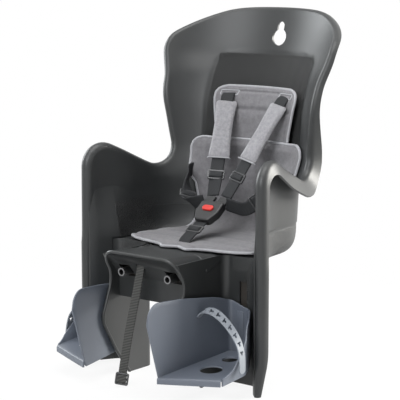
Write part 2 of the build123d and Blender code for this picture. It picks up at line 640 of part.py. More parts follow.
def make_slider():
    """Slider behind the leg guard, the screw that ties it to the footrest, and the release button."""
    front = CALF_Y + WALL + SLIDER_GAP
    half = SLIDER_WIDTH / 2
    low = (FOOT_SLOT_X - half, front, SLIDER_BOTTOM)
    body = block(low, (FOOT_SLOT_X + half, front + SLIDER_THICK, SLIDER_TOP))
    body = fillet(body.edges().filter_by(Axis.Y), 5.0)
    middle_y = front + SLIDER_THICK / 2
    screw_z = (NECK_TOP + NECK_BOTTOM) / 2
    hole = Pos(FOOT_SLOT_X, front - 1, screw_z) * along_seat(FOOT_SCREW_RADIUS + BLOCK_FIT, SPAN)
    heel_y = FOOT_PLAN[0][1]
    shank = Pos(FOOT_SLOT_X, heel_y, screw_z) * along_seat(FOOT_SCREW_RADIUS, front + SLIDER_THICK - heel_y)
    head_place = Pos(FOOT_SLOT_X, front + SLIDER_THICK, screw_z)
    screw = shank + head_place * along_seat(FOOT_SCREW_HEAD, FOOT_SCREW_HEIGHT)
    outer = FOOT_SLOT_X + half
    bore_length = RELEASE_LENGTH - RELEASE_PROUD + RELEASE_TRAVEL + RELEASE_CLEARANCE
    bore_radius = RELEASE_RADIUS + RELEASE_CLEARANCE
    bore_x = outer - bore_length / 2 + 1
    bore = Pos(bore_x, middle_y, RELEASE_Z) * Rot(0, 90, 0) * Cylinder(bore_radius, bore_length + 2)
    middle_x = outer + RELEASE_PROUD - RELEASE_LENGTH / 2
    button = Pos(middle_x, middle_y, RELEASE_Z) * Rot(0, 90, 0) * Cylinder(RELEASE_RADIUS, RELEASE_LENGTH)
    button = fillet(button.edges().sort_by(Axis.X)[-1], 2.0)
    return body - hole - bore, screw, button


def make_foot_strap():
    """Left foot strap: an arch from the medial wall, over the lateral rim, with a hanging tail."""
    arch = ThreePointArc(FOOT_STRAP_MEDIAL, FOOT_STRAP_CROWN, FOOT_STRAP_RIM)
    tail = Line(FOOT_STRAP_RIM, FOOT_STRAP_END)
    line = Curve() + arch + tail
    ribbon = offset(line, amount=FOOT_STRAP_THICK / 2, side=Side.BOTH)
    face = make_face(ribbon.edges())
    strap = Pos(0, FOOT_STRAP_Y, 0) * extrude(Plane.XZ * face, amount=FOOT_STRAP_WIDTH / 2, both=True)
    for i in range(FOOT_STRAP_HOLES):
        place = arch.location_at(0.12 + 0.76 * i / (FOOT_STRAP_HOLES - 1)).position
        hole = Box(FOOT_STRAP_WIDTH * 0.16, FOOT_STRAP_WIDTH * 0.5, FOOT_STRAP_WIDTH)
        strap = strap - Pos(place.X, FOOT_STRAP_Y, place.Y) * hole
    return strap


def write(name, shape):
    """Write one node."""
    export_step(shape, f"parts/{name}.step")


def write_pair(name, left):
    """Write a left node and its mirror image."""
    write(f"left_{name}", left)
    write(f"right_{name}", mirror(left, about=Plane.YZ))


def main():
    os.makedirs("parts", exist_ok=True)
    shell = make_shell()
    write("seat_shell", shell)
    write("seat_pad", make_pad())
    for name, piece in make_harness(shell).items():
        write_pair(name, piece)
    strap, slide, anchor = make_crotch()
    write("crotch_strap", strap)
    write("crotch_slide", slide)
    write("crotch_anchor", anchor)
    body, button, tongue = make_buckle()
    write("buckle_body", body)
    write("buckle_button", button)
    write_pair("buckle_tongue", tongue)
    strap, slide = make_safety_strap()
    write("safety_strap", strap)
    write("safety_strap_slide", slide)
    mount, bow_sleeve, screws, bolt = make_mount()
    write("mount_block", mount)
    write_pair("bow_sleeve", bow_sleeve)
    write("mount_screws", Compound(screws + [mirror(screw, about=Plane.YZ) for screw in screws]))
    write("bow_clamp_bolts", Compound([bolt, mirror(bolt, about=Plane.YZ)]))
    write_pair("footrest", make_footrest())
    slider, screw, release = make_slider()
    write_pair("footrest_slider", slider)
    write_pair("footrest_screw", screw)
    write_pair("release_button", release)
    write_pair("foot_strap", make_foot_strap())


main()
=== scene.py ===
# %% [markdown]
# # A child bike seat
# The seat sits behind the rider on a steel bow. One dark moulding makes the back, the arm wings and the
# leg guards. A felt pad, a harness, a hanging strap and two sliding footrests are fixed to it.
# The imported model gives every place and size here, so nothing is fitted by eye later.

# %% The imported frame
import math

import bmesh
import bpy
import numpy as np
from mathutils import Matrix, Vector


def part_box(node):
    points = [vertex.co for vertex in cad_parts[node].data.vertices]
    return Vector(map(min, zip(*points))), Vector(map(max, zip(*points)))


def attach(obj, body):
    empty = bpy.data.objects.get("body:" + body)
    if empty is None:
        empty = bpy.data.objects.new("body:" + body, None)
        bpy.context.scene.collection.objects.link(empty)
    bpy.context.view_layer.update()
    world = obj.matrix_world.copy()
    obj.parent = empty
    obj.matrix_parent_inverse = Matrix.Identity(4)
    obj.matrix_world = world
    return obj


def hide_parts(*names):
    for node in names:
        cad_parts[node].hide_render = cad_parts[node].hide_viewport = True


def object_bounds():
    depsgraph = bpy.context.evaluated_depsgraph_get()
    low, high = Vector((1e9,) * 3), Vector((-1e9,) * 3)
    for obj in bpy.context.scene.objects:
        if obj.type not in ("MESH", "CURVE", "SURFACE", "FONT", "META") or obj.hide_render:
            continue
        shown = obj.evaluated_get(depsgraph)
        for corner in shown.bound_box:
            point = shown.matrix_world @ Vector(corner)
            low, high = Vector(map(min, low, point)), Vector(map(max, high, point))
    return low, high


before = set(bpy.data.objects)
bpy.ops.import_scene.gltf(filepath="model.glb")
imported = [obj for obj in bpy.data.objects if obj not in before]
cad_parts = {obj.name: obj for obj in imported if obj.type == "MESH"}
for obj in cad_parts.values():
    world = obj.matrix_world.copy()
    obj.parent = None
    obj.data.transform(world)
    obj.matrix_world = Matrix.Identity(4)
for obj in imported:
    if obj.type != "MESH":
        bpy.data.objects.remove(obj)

MM = 0.001
scene = bpy.context.scene
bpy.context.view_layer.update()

# %% [markdown]
# ## Camera
# The picture was taken from the seat's left front, a little above the middle, with a long lens.
# A camera is three directions and a distance, so it is set from two angles and a target point.

# %% Camera
CAMERA_AZIMUTH = math.radians(38.9)
CAMERA_PITCH = math.radians(9.5)
CAMERA_DISTANCE = 3000 * MM
CAMERA_TARGET = Vector((0.0, 180.0, 111.0)) * MM
CAMERA_SIDESTEP = -15.2 * MM
SENSOR = 36.0
FOCAL_PIXELS = 1650.1
IMAGE_PIXELS = 400

toward_camera = Vector((
    math.sin(CAMERA_AZIMUTH) * math.cos(CAMERA_PITCH),
    -math.cos(CAMERA_AZIMUTH) * math.cos(CAMERA_PITCH),
    math.sin(CAMERA_PITCH),
))
image_right = Vector((math.cos(CAMERA_AZIMUTH), math.sin(CAMERA_AZIMUTH), 0.0))
camera_data = bpy.data.cameras.new("camera")
camera_data.sensor_width = SENSOR
camera_data.lens = FOCAL_PIXELS / IMAGE_PIXELS * SENSOR
camera = bpy.data.objects.new("camera", camera_data)
camera.location = CAMERA_TARGET + toward_camera * CAMERA_DISTANCE + image_right * CAMERA_SIDESTEP
camera.rotation_mode = "QUATERNION"
camera.rotation_quaternion = (-toward_camera).to_track_quat("-Z", "Y")
scene.collection.objects.link(camera)
scene.camera = camera
print("camera lens", round(camera_data.lens, 1), "mm")

# %% [markdown]
# ## Node helpers
# Floor, world and finishes are trees of nodes. Most of their nodes do a sum, carry a number from one range
# to another or blend two shaders, so each of these jobs is one short function that returns a socket.

# %% Node helpers


def math_node(tree, operation, first, second=None):
    """One math node fed by sockets or numbers; returns its output."""
    node = tree.nodes.new("ShaderNodeMath")
    node.operation = operation
    for slot, value in enumerate((first, second)):
        if value is None:
            continue
        if isinstance(value, (int, float)):
            node.inputs[slot].default_value = value
        else:
            tree.links.new(value, node.inputs[slot])
    return node.outputs[0]


def map_range(tree, value, start, end, low=0.0, high=1.0, kind="LINEAR"):
    """Carry a value from the range start to end over to the range low to high."""
    node = tree.nodes.new("ShaderNodeMapRange")
    node.interpolation_type = kind
    for label, number in (("From Min", start), ("From Max", end), ("To Min", low), ("To Max", high)):
        node.inputs[label].default_value = number
    tree.links.new(value, node.inputs["Value"])
    return node.outputs["Result"]


def show_blend(tree, factor, first, second, out):
    """Blend two shaders by a factor and show the result."""
    mix = tree.nodes.new("ShaderNodeMixShader")
    for slot, socket in enumerate((factor, first.outputs[0], second.outputs[0])):
        tree.links.new(socket, mix.inputs[slot])
    tree.links.new(mix.outputs[0], out.inputs["Surface"])


# %% [markdown]
# ## Studio
# A seat photographed for a catalogue stands on white paper between large soft lamps.
# The paper shows as plain white to the camera and to shiny parts, and as a pale floor to everything else,
# so its white never adds light to the seat. Near the seat a little of the floor's own shade stays in.

# %% Studio
FLOOR_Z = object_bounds()[0].z - 0.5 * MM
FLOOR_SIZE = 6.0
PAPER_GREY = 0.8
FADE_FROM, FADE_TO = 0.4, 1.0
NEAR_WHITE = 0.9
ROOM_TINT = (0.95, 0.97, 1, 1)
ROOM_STRENGTH = 0.2
WHITE = (1, 1, 1, 1)
SEAT_MIDDLE = Vector((0.0, 0.18, 0.12))


def light_path_white(tree):
    """Is Camera, Glossy or Transmission Ray, as one factor."""
    path = tree.nodes.new("ShaderNodeLightPath")
    seen = math_node(tree, "MAXIMUM", path.outputs["Is Camera Ray"], path.outputs["Is Glossy Ray"])
    return math_node(tree, "MAXIMUM", seen, path.outputs["Is Transmission Ray"])


def paper_floor():
    """White paper that keeps a little of the shadow near the seat."""
    material = bpy.data.materials.new("studio_paper")
    material.use_nodes = True
    tree = material.node_tree
    tree.nodes.clear()
    out = tree.nodes.new("ShaderNodeOutputMaterial")
    paper = tree.nodes.new("ShaderNodeBsdfDiffuse")
    paper.inputs["Color"].default_value = (PAPER_GREY, PAPER_GREY, PAPER_GREY, 1)
    white = tree.nodes.new("ShaderNodeEmission")
    white.inputs["Color"].default_value = WHITE
    place = tree.nodes.new("ShaderNodeTexCoord")
    distance = tree.nodes.new("ShaderNodeVectorMath")
    distance.operation = "LENGTH"
    tree.links.new(place.outputs["Object"], distance.inputs[0])
    fade = map_range(tree, distance.outputs["Value"], FADE_FROM, FADE_TO, NEAR_WHITE)
    show_blend(tree, math_node(tree, "MULTIPLY", light_path_white(tree), fade), paper, white, out)
    bm = bmesh.new()
    bmesh.ops.create_grid(bm, x_segments=4, y_segments=4, size=FLOOR_SIZE / 2)
    bmesh.ops.translate(bm, vec=(0, 0, FLOOR_Z), verts=bm.verts)
    mesh = bpy.data.meshes.new("studio_floor")
    bm.to_mesh(mesh)
    bm.free()
    floor = bpy.data.objects.new("studio_floor", mesh)
    floor.data.materials.append(material)
    scene.collection.objects.link(floor)


def studio_world():
    """A dim, even room that lights the seat and shows as white."""
    world = bpy.data.worlds.new("studio")
    scene.world = world
    world.use_nodes = True
    tree = world.node_tree
    tree.nodes.clear()
    out = tree.nodes.new("ShaderNodeOutputWorld")
    room = tree.nodes.new("ShaderNodeBackground")
    room.inputs["Color"].default_value = ROOM_TINT
    room.inputs["Strength"].default_value = ROOM_STRENGTH
    white = tree.nodes.new("ShaderNodeBackground")
    white.inputs["Color"].default_value = WHITE
    show_blend(tree, light_path_white(tree), room, white, out)


def soft_lamp(name, place, size, power, colour):
    """A large square lamp that looks at the middle of the seat."""
    data = bpy.data.lights.new(name, "AREA")
    data.shape = "SQUARE"
    data.size = size
    data.energy = power
    data.color = colour
    lamp = bpy.data.objects.new(name, data)
    lamp.location = place
    lamp.rotation_mode = "QUATERNION"
    lamp.rotation_quaternion = (SEAT_MIDDLE - Vector(place)).to_track_quat("-Z", "Y")
    scene.collection.objects.link(lamp)


paper_floor()
studio_world()
soft_lamp("right_softbox", (1.5, 1.7, 0.8), 1.4, 118, (1, 0.98, 0.93))
soft_lamp("left_softbox", (-2.2, 0.0, 0.9), 1.4, 38, (0.94, 0.98, 1))
soft_lamp("front_softbox", (0.3, -2.1, 1.3), 1.4, 36, (0.96, 0.98, 1))
soft_lamp("top_softbox", (0.1, -0.2, 2.3), 1.7, 40, (1, 1, 1))
scene.view_settings.view_transform = "Standard"
print("studio lamps:", [lamp.name for lamp in bpy.data.lights])

# %% [markdown]
# ## Making pieces
# Every piece is drawn in millimetres, like the part itself, and scaled to metres when it is done.
# A small helper gives it a name, a material and the body that it moves with.

# %% Helpers for pieces


def piece(name, bm, body, material, stands_for=()):
    """Turn a bmesh in millimetres into an object that rides on a body."""
    bmesh.ops.scale(bm, vec=(MM, MM, MM), verts=bm.verts)
    for face in bm.faces:
        face.smooth = True
    mesh = bpy.data.meshes.new(name)
    bm.to_mesh(mesh)
    bm.free()
    obj = bpy.data.objects.new(name, mesh)
    scene.collection.objects.link(obj)
    obj.data.materials.append(material)
    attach(obj, body)
    if stands_for:
        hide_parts(*stands_for)
    return obj


def walled(obj, thick, offset=-1):
    """Give a sheet its thickness, behind its faces or about its middle."""
    wall = obj.modifiers.new("wall", "SOLIDIFY")
    wall.thickness = thick * MM
    wall.offset = offset
    return obj


def mapped_grid(bm, columns, rows, place):
    """A grid whose corner (i, j) goes to place[i][j]; returns its vertices by column and row."""
    made = bmesh.ops.create_grid(bm, x_segments=columns, y_segments=rows, size=1)["verts"]
    table = {}
    for vert in made:
        i = round((vert.co.x + 1) / 2 * columns)
        j = round((vert.co.y + 1) / 2 * rows)
        vert.co = Vector([float(value) for value in place[i][j]])
        table[i, j] = vert
    return table


def turned_over(bm, side):
    """Mirror a left piece to the right."""
    if side == "right":
        bmesh.ops.scale(bm, vec=(-1, 1, 1), verts=bm.verts)
        bmesh.ops.reverse_faces(bm, faces=bm.faces)


def natural_spline(knots, values, at):
    """Smooth curve through values at knots, with free ends."""
    knots = np.asarray(knots, float)
    values = np.asarray(values, float)
    at = np.asarray(at, float)
    gaps = np.diff(knots)
    system = np.eye(len(knots))
    wanted = np.zeros_like(values)
    for i in range(1, len(knots) - 1):
        system[i, i - 1:i + 2] = gaps[i - 1], 2 * (gaps[i - 1] + gaps[i]), gaps[i]
        wanted[i] = 6 * ((values[i + 1] - values[i]) / gaps[i] - (values[i] - values[i - 1]) / gaps[i - 1])
    bend = np.linalg.solve(system, wanted)
    k = np.clip(np.searchsorted(knots, at) - 1, 0, len(knots) - 2)
    gap = gaps[k]
    after = (at - knots[k]) / gap
    before = 1 - after
    if values.ndim > 1:
        gap, after, before = gap[:, None], after[:, None], before[:, None]
    curve = (before**3 - before) * bend[k] + (after**3 - after) * bend[k + 1]
    return before * values[k] + after * values[k + 1] + curve * gap**2 / 6


def rounded_line(corners, step=2.0):
    """Points along straight runs joined by tangent arcs; each corner is x, y and a radius."""
    points = [np.array(corners[0][:2], float)]
    for before, here, after in zip(corners[:-2], corners[1:-1], corners[2:]):
        corner = np.array(here[:2], float)
        back = np.array(before[:2], float) - corner
        ahead = np.array(after[:2], float) - corner
        back /= np.linalg.norm(back)
        ahead /= np.linalg.norm(ahead)
        half = math.acos(float(np.clip(back @ ahead, -1, 1))) / 2
        reach = here[2] / math.tan(half)
        middle = corner + (back + ahead) / np.linalg.norm(back + ahead) * here[2] / math.sin(half)
        first = corner + back * reach - middle
        last = corner + ahead * reach - middle
        turn = math.pi - 2 * half
        side = math.copysign(1, first[0] * last[1] - first[1] * last[0])
        steps = max(2, int(here[2] * turn / step))
        for i in range(steps + 1):
            angle = side * turn * i / steps
            cos, sin = math.cos(angle), math.sin(angle)
            spoke = first[0] * cos - first[1] * sin, first[0] * sin + first[1] * cos
            points.append(middle + np.array(spoke))
    points.append(np.array(corners[-1][:2], float))
    return np.array(points)


def run_along(points):
    """Length along a line at each of its points."""
    return np.r_[0, np.cumsum(np.linalg.norm(np.diff(points, axis=0), axis=1))]


def resampled(points, count):
    """Evenly spaced points along a line."""
    points = np.asarray(points, float)
    run = run_along(points)
    even = np.linspace(0, run[-1], count)
    return np.stack([np.interp(even, run, column) for column in points.T], -1)


# %% [markdown]
# ## Finishes
# The shell is a satin moulding with a fine grain, the pad is felt, the straps are woven, the footrests are a
# blue-grey moulding. Grain, weave and mottling are used by several finishes, so each is a node group
# with its own sockets, and every material sets its own values.

# %% Node groups


def new_group(name, inputs, outputs):
    """An empty shader group with float inputs and named outputs."""
    group = bpy.data.node_groups.new(name, "ShaderNodeTree")
    for label, value in inputs:
        socket = group.interface.new_socket(label, in_out="INPUT", socket_type="NodeSocketFloat")
        socket.default_value = value
    for label in outputs:
        group.interface.new_socket(label, in_out="OUTPUT", socket_type="NodeSocketFloat")
    return group, group.nodes.new("NodeGroupInput"), group.nodes.new("NodeGroupOutput")


def grain_group():
    """Fine moulded grain and slow tone changes."""
    sockets = [("Scale", 900.0), ("Tone scale", 9.0)]
    group, given, out = new_group("moulded_grain", sockets, ["Height", "Tone"])
    place = group.nodes.new("ShaderNodeTexCoord")
    fine = group.nodes.new("ShaderNodeTexNoise")
    fine.inputs["Detail"].default_value = 2
    slow = group.nodes.new("ShaderNodeTexNoise")
    slow.inputs["Detail"].default_value = 3
    for node, label in ((fine, "Scale"), (slow, "Tone scale")):
        group.links.new(place.outputs["Object"], node.inputs["Vector"])
        group.links.new(given.outputs[label], node.inputs["Scale"])
    group.links.new(fine.outputs["Fac"], out.inputs["Height"])
    group.links.new(slow.outputs["Fac"], out.inputs["Tone"])
    return group


PEBBLE_FLAT, PEBBLE_GAIN = 0.22, 4.0


def pebble_group():
    """Leather-like pebbles: raised cells between fine valleys."""
    group, given, out = new_group("pebbles", [("Scale", 330.0)], ["Height"])
    place = group.nodes.new("ShaderNodeTexCoord")
    cells = group.nodes.new("ShaderNodeTexVoronoi")
    cells.feature = "DISTANCE_TO_EDGE"
    group.links.new(place.outputs["Object"], cells.inputs["Vector"])
    group.links.new(given.outputs["Scale"], cells.inputs["Scale"])
    raised = math_node(group, "MINIMUM", cells.outputs["Distance"], PEBBLE_FLAT)
    group.links.new(math_node(group, "MULTIPLY", raised, PEBBLE_GAIN), out.inputs["Height"])
    return group


def felt_group():
    """Short tangled fibres and a cloudy mottle."""
    sockets = [("Fibre scale", 1400.0), ("Mottle scale", 120.0)]
    group, given, out = new_group("felt", sockets, ["Height", "Mottle"])
    place = group.nodes.new("ShaderNodeTexCoord")
    fibre = group.nodes.new("ShaderNodeTexNoise")
    fibre.inputs["Detail"].default_value = 4
    fibre.inputs["Distortion"].default_value = 1.2
    mottle = group.nodes.new("ShaderNodeTexNoise")
    mottle.inputs["Detail"].default_value = 5
    mottle.inputs["Roughness"].default_value = 0.7
    for node, label in ((fibre, "Fibre scale"), (mottle, "Mottle scale")):
        group.links.new(place.outputs["Object"], node.inputs["Vector"])
        group.links.new(given.outputs[label], node.inputs["Scale"])
    group.links.new(fibre.outputs["Fac"], out.inputs["Height"])
    group.links.new(mottle.outputs["Fac"], out.inputs["Mottle"])
    return group


def weave_group():
    """Webbing: slanted ribs, so many to a strap's width, on its own map with u along and v across."""
    group, given, out = new_group("webbing_weave", [("Ribs", 10.0), ("Slant", 0.5)], ["Height"])
    uv = group.nodes.new("ShaderNodeUVMap")
    uv.uv_map = "strap"
    split = group.nodes.new("ShaderNodeSeparateXYZ")
    group.links.new(uv.outputs["UV"], split.inputs[0])
    lean = math_node(group, "MULTIPLY", split.outputs["Y"], given.outputs["Slant"])
    along = math_node(group, "ADD", split.outputs["X"], lean)
    ribs = math_node(group, "MULTIPLY", along, given.outputs["Ribs"])
    turns = math_node(group, "MULTIPLY", ribs, 2 * math.pi)
    half_wave = math_node(group, "MULTIPLY", math_node(group, "SINE", turns), 0.5)
    group.links.new(math_node(group, "ADD", half_wave, 0.5), out.inputs["Height"])
    return group


GRAIN = grain_group()
PEBBLES = pebble_group()
FELT = felt_group()
WEAVE = weave_group()
print("node groups:", [group.name for group in bpy.data.node_groups])

# %% Material helpers
RAMP_STOPS = (0.3, 0.7)


def new_material(name, colour, roughness):
    material = bpy.data.materials.new(name)
    material.use_nodes = True
    tree = material.node_tree
    shader = tree.nodes["Principled BSDF"]
    shader.inputs["Base Color"].default_value = (*colour, 1)
    shader.inputs["Roughness"].default_value = roughness
    return material, tree, shader


def place_group(tree, group, **values):
    node = tree.nodes.new("ShaderNodeGroup")
    node.node_tree = group
    for label, value in values.items():
        node.inputs[label.replace("_", " ")].default_value = value
    return node


def colour_between(tree, shader, factor, low, high):
    """The base colour as a two-colour ramp driven by a socket."""
    ramp = tree.nodes.new("ShaderNodeValToRGB")
    for stop, position, colour in zip(ramp.color_ramp.elements, RAMP_STOPS, (low, high)):
        stop.position = position
        stop.color = (*colour, 1)
    tree.links.new(factor, ramp.inputs["Fac"])
    tree.links.new(ramp.outputs["Color"], shader.inputs["Base Color"])


def uneven_gloss(tree, shader, value, roughness, less, more):
    """Roughness that wanders with a value, from a little less to a little more than given."""
    rough = map_range(tree, value, 0.0, 1.0, roughness - less, roughness + more)
    tree.links.new(rough, shader.inputs["Roughness"])


def bump(tree, shader, height, distance, strength=1.0):
    node = tree.nodes.new("ShaderNodeBump")
    node.inputs["Distance"].default_value = distance
    node.inputs["Strength"].default_value = strength
    tree.links.new(height, node.inputs["Height"])
    tree.links.new(node.outputs["Normal"], shader.inputs["Normal"])
    return node


def moulded(name, dark, light, roughness, grain=900.0, depth=0.00006):
    """Moulded plastic: fine grain, slow tone changes, roughness that wanders a little."""
    material, tree, shader = new_material(name, dark, roughness)
    grains = place_group(tree, GRAIN, Scale=grain)
    colour_between(tree, shader, grains.outputs["Tone"], dark, light)
    uneven_gloss(tree, shader, grains.outputs["Tone"], roughness, 0.05, 0.06)
    bump(tree, shader, grains.outputs["Height"], depth)
    return material


def felt(name, dark, light, mottle=120.0):
    """Felt: fibres in the bump, a cloudy colour and a soft sheen."""
    material, tree, shader = new_material(name, dark, 0.95)
    fibres = place_group(tree, FELT, Mottle_scale=mottle)
    colour_between(tree, shader, fibres.outputs["Mottle"], dark, light)
    shader.inputs["Specular IOR Level"].default_value = 0.15
    shader.inputs["Sheen Weight"].default_value = 0.25
    shader.inputs["Sheen Roughness"].default_value = 0.6
    bump(tree, shader, fibres.outputs["Height"], 0.0006, 0.8)
    return material


def webbing(name, dark, light, ribs, slant=0.5):
    """Webbing: its weave in the bump, and painted shade that darkens the valleys between the ribs."""
    material, tree, shader = new_material(name, dark, 0.7)
    weave = place_group(tree, WEAVE, Ribs=ribs, Slant=slant)
    # Painted shade: the colour runs from dark in the weave's valleys to light on its ribs.
    colour_between(tree, shader, weave.outputs["Height"], dark, light)
    shader.inputs["Specular IOR Level"].default_value = 0.3
    bump(tree, shader, weave.outputs["Height"], 0.0004, 0.7)
    return material


def metal(name, colour, roughness):
    """Plated steel with a gloss that is not quite even."""
    material, tree, shader = new_material(name, colour, roughness)
    shader.inputs["Metallic"].default_value = 1
    grains = place_group(tree, GRAIN, Scale=500.0)
    uneven_gloss(tree, shader, grains.outputs["Height"], roughness, 0.06, 0.08)
    bump(tree, shader, grains.outputs["Height"], 0.00003)
    return material


# %% Finishes
SHELL = moulded("shell_plastic", (0.021, 0.0225, 0.023), (0.027, 0.0285, 0.029), 0.4)
PAD = felt("pad_felt", (0.16, 0.155, 0.165), (0.23, 0.225, 0.235))
PIPING = felt("pad_piping", (0.36, 0.36, 0.38), (0.44, 0.44, 0.46), 300.0)
SHOULDER = felt("shoulder_felt", (0.24, 0.235, 0.25), (0.36, 0.355, 0.37), 160.0)
WEBBING = webbing("webbing", (0.012, 0.013, 0.014), (0.03, 0.031, 0.034), 10.0)
SAFETY_WEB = webbing("safety_webbing", (0.04, 0.04, 0.038), (0.075, 0.075, 0.071), 3.0, 0.45)
SLIDE = moulded("slide_plastic", (0.05, 0.051, 0.053), (0.065, 0.066, 0.068), 0.2)
BUCKLE = moulded("buckle_plastic", (0.015, 0.015, 0.016), (0.02, 0.02, 0.021), 0.35)
BUTTON = moulded("button_red", (0.55, 0.022, 0.016), (0.62, 0.03, 0.022), 0.34)
ANCHOR = moulded("anchor_plastic", (0.02, 0.02, 0.021), (0.026, 0.026, 0.027), 0.5)
MOUNT = moulded("mount_plastic", (0.03, 0.026, 0.022), (0.036, 0.031, 0.027), 0.5)
SLEEVE = metal("sleeve_steel", (0.25, 0.25, 0.255), 0.38)
SCREW = metal("screw_steel", (0.52, 0.52, 0.53), 0.32)
FOOTREST = moulded("footrest_plastic", (0.105, 0.119, 0.147), (0.12, 0.135, 0.163), 0.4)
FOOT_STRAP = moulded("foot_strap_rubber", (0.165, 0.182, 0.208), (0.19, 0.208, 0.236), 0.55)
print("materials:", len(bpy.data.materials))

# %% [markdown]
# The shell is not grained alike all over. Its back has a sunk panel with a fine diamond texture, each wing
# has a leathery field inside, and the outside of the bucket is finely sanded. All three are relief in the
# mould, so they are added to the shell's bump, and a mask made from the place on the object says where.
# The two inner fields are also painted darker: painted shade that stands in for the light their small valleys
# hold back.

# %% Textured fields of the shell
BACK_FIELD = {"x": (-1, 0, 0.109, 0.112), "y": (0.25, 0.26, 9, 10), "z": (-1, 0, 0.361, 0.365)}
WING_FIELD = {"x": (0.125, 0.13, 9, 10), "y": (0.112, 0.118, 0.19, 0.25), "z": (-0.2, -0.1, 0.09, 0.104)}
BUCKET_FIELD = {"x": (0.1, 0.11, 9, 10), "y": (0.09, 0.1, 9, 10), "z": (0, 0.01, 0.074, 0.077)}
FIELD_RELIEF = 0.0008
# How dark the painted shade makes the two inner fields, as a factor on their colour.
FIELD_PAINTED_SHADE = 0.45
LEATHER_SCALE = 300.0
SAND_SCALE, SAND_SHARE = 620.0, 0.4
DIAMOND_PITCH, DIAMOND_SHARE = 0.0036, 0.6


def field_mask(tree, place, field):
    """One inside a box in |x|, y and z, fading to zero over the given stretches."""
    mask = None
    for axis, (low, low_full, high_full, high) in field.items():
        value = place.outputs[axis.upper()]
        if axis == "x":
            value = math_node(tree, "ABSOLUTE", value)
        for start, end in ((low, low_full), (high, high_full)):
            share = map_range(tree, value, start, end, kind="SMOOTHSTEP")
            mask = share if mask is None else math_node(tree, "MULTIPLY", mask, share)
    return mask


def diamonds(tree, place):
    """Small raised diamonds from two sets of slanted waves."""
    waves = []
    for lean in ("ADD", "SUBTRACT"):
        slant = math_node(tree, lean, place.outputs["X"], place.outputs["Z"])
        turns = math_node(tree, "MULTIPLY", slant, 2 * math.pi / DIAMOND_PITCH)
        waves.append(math_node(tree, "SINE", turns))
    return math_node(tree, "MULTIPLY", waves[0], waves[1])


def texture_fields(material):
    """Add the three fields to the shell's relief and paint shade on the two inner ones."""
    tree = material.node_tree
    shader = tree.nodes["Principled BSDF"]
    position = tree.nodes.new("ShaderNodeTexCoord")
    place = tree.nodes.new("ShaderNodeSeparateXYZ")
    tree.links.new(position.outputs["Object"], place.inputs[0])
    inner = tree.nodes.new("ShaderNodeAttribute")
    inner.attribute_name = "inner_face"
    inside = inner.outputs["Fac"]
    outside = math_node(tree, "SUBTRACT", 1.0, inside)
    leather = place_group(tree, PEBBLES, Scale=LEATHER_SCALE).outputs["Height"]
    grit = place_group(tree, PEBBLES, Scale=SAND_SCALE).outputs["Height"]
    sand = math_node(tree, "MULTIPLY", grit, SAND_SHARE)
    weave = math_node(tree, "MULTIPLY", diamonds(tree, place), DIAMOND_SHARE)
    fields = [(WING_FIELD, inside, leather), (BACK_FIELD, inside, weave), (BUCKET_FIELD, outside, sand)]
    masks, heights = [], []
    for field, face, height in fields:
        masks.append(math_node(tree, "MULTIPLY", field_mask(tree, place, field), face))
        heights.append(math_node(tree, "MULTIPLY", height, masks[-1]))
    two_fields = math_node(tree, "ADD", heights[0], heights[1])
    grain = shader.inputs["Normal"].links[0].from_node
    raised = bump(tree, shader, math_node(tree, "ADD", two_fields, heights[2]), FIELD_RELIEF)
    tree.links.new(grain.outputs["Normal"], raised.inputs["Normal"])
    # Painted shade: inside the wing and back fields the base colour is multiplied darker.
    plain = shader.inputs["Base Color"].links[0].from_socket
    shade = tree.nodes.new("ShaderNodeMix")
    shade.data_type = "RGBA"
    shade.blend_type = "MULTIPLY"
    sockets = {socket.identifier: socket for socket in shade.inputs}
    tree.links.new(math_node(tree, "ADD", masks[0], masks[1]), sockets["Factor_Float"])
    tree.links.new(plain, sockets["A_Color"])
    sockets["B_Color"].default_value = (FIELD_PAINTED_SHADE, FIELD_PAINTED_SHADE, FIELD_PAINTED_SHADE, 1)
    made = [socket for socket in shade.outputs if socket.identifier == "Result_Color"]
    tree.links.new(made[0], shader.inputs["Base Color"])


texture_fields(SHELL)
print("shell nodes:", len(SHELL.node_tree.nodes))

# %% [markdown]
# ## The moulded shell: its plan
# Seen from above, the shell is a wide U that is deeper and narrower at the seat and opens towards the head.
# The same few plan rows that drive the part drive this surface: a smooth line through each row,
# and a smooth change from row to row.

# %% Plan of the shell
WALL = 4.0
PAN_Z = 31.0
JOIN_Z = 80.0
FRONT_X, FRONT_Y = 190.0, 62.0
FRONT_OVERRUN = 15.0
FRONT_FLARE, FRONT_TUCK = 3.0, 5.0
SIDE_SHARE = 0.36
CHEEK_SHARE, CHEEK_SET = 0.6, 0.28
# Height, back centre y, hip half width, hip y
SECTIONS = np.array([
    (27, 268, 130, 222),
    (36, 292, 147, 228),
    (62, 306, 154, 230),
    (130, 319, 157, 231),
    (190, 329, 160, 258),
    (265, 341, 164, 260),
    (320, 361, 171, 266),
    (375, 388, 183, 288),
    (460, 412, 190, 312),
], float)
SECTION_STEP = 2.0
HEIGHTS = np.arange(SECTIONS[0, 0], SECTIONS[-1, 0] + SECTION_STEP / 2, SECTION_STEP / 2)
SHARES = np.linspace(-1, 1, 601)


def between_sections(height):
    """Values of the plan rows at a height, easing from row to row without overshoot."""
    knots, values = SECTIONS[:, 0], SECTIONS[:, 1:]
    gaps = np.diff(knots)[:, None]
    rates = np.diff(values, axis=0) / gaps
    level = rates[:-1] * rates[1:] <= 0
    total = np.where(level, 1, rates[:-1] + rates[1:])
    inner = np.where(level, 0, 2 * rates[:-1] * rates[1:] / total)
    slopes = np.vstack([rates[:1], inner, rates[-1:]])
    k = int(np.clip(np.searchsorted(knots, height) - 1, 0, len(gaps) - 1))
    t = (height - knots[k]) / gaps[k, 0]
    ends = values[k] * (1 + 2 * t) * (1 - t)**2 + values[k + 1] * t * t * (3 - 2 * t)
    return ends + gaps[k] * (slopes[k] * t * (1 - t)**2 - slopes[k + 1] * t * t * (1 - t))


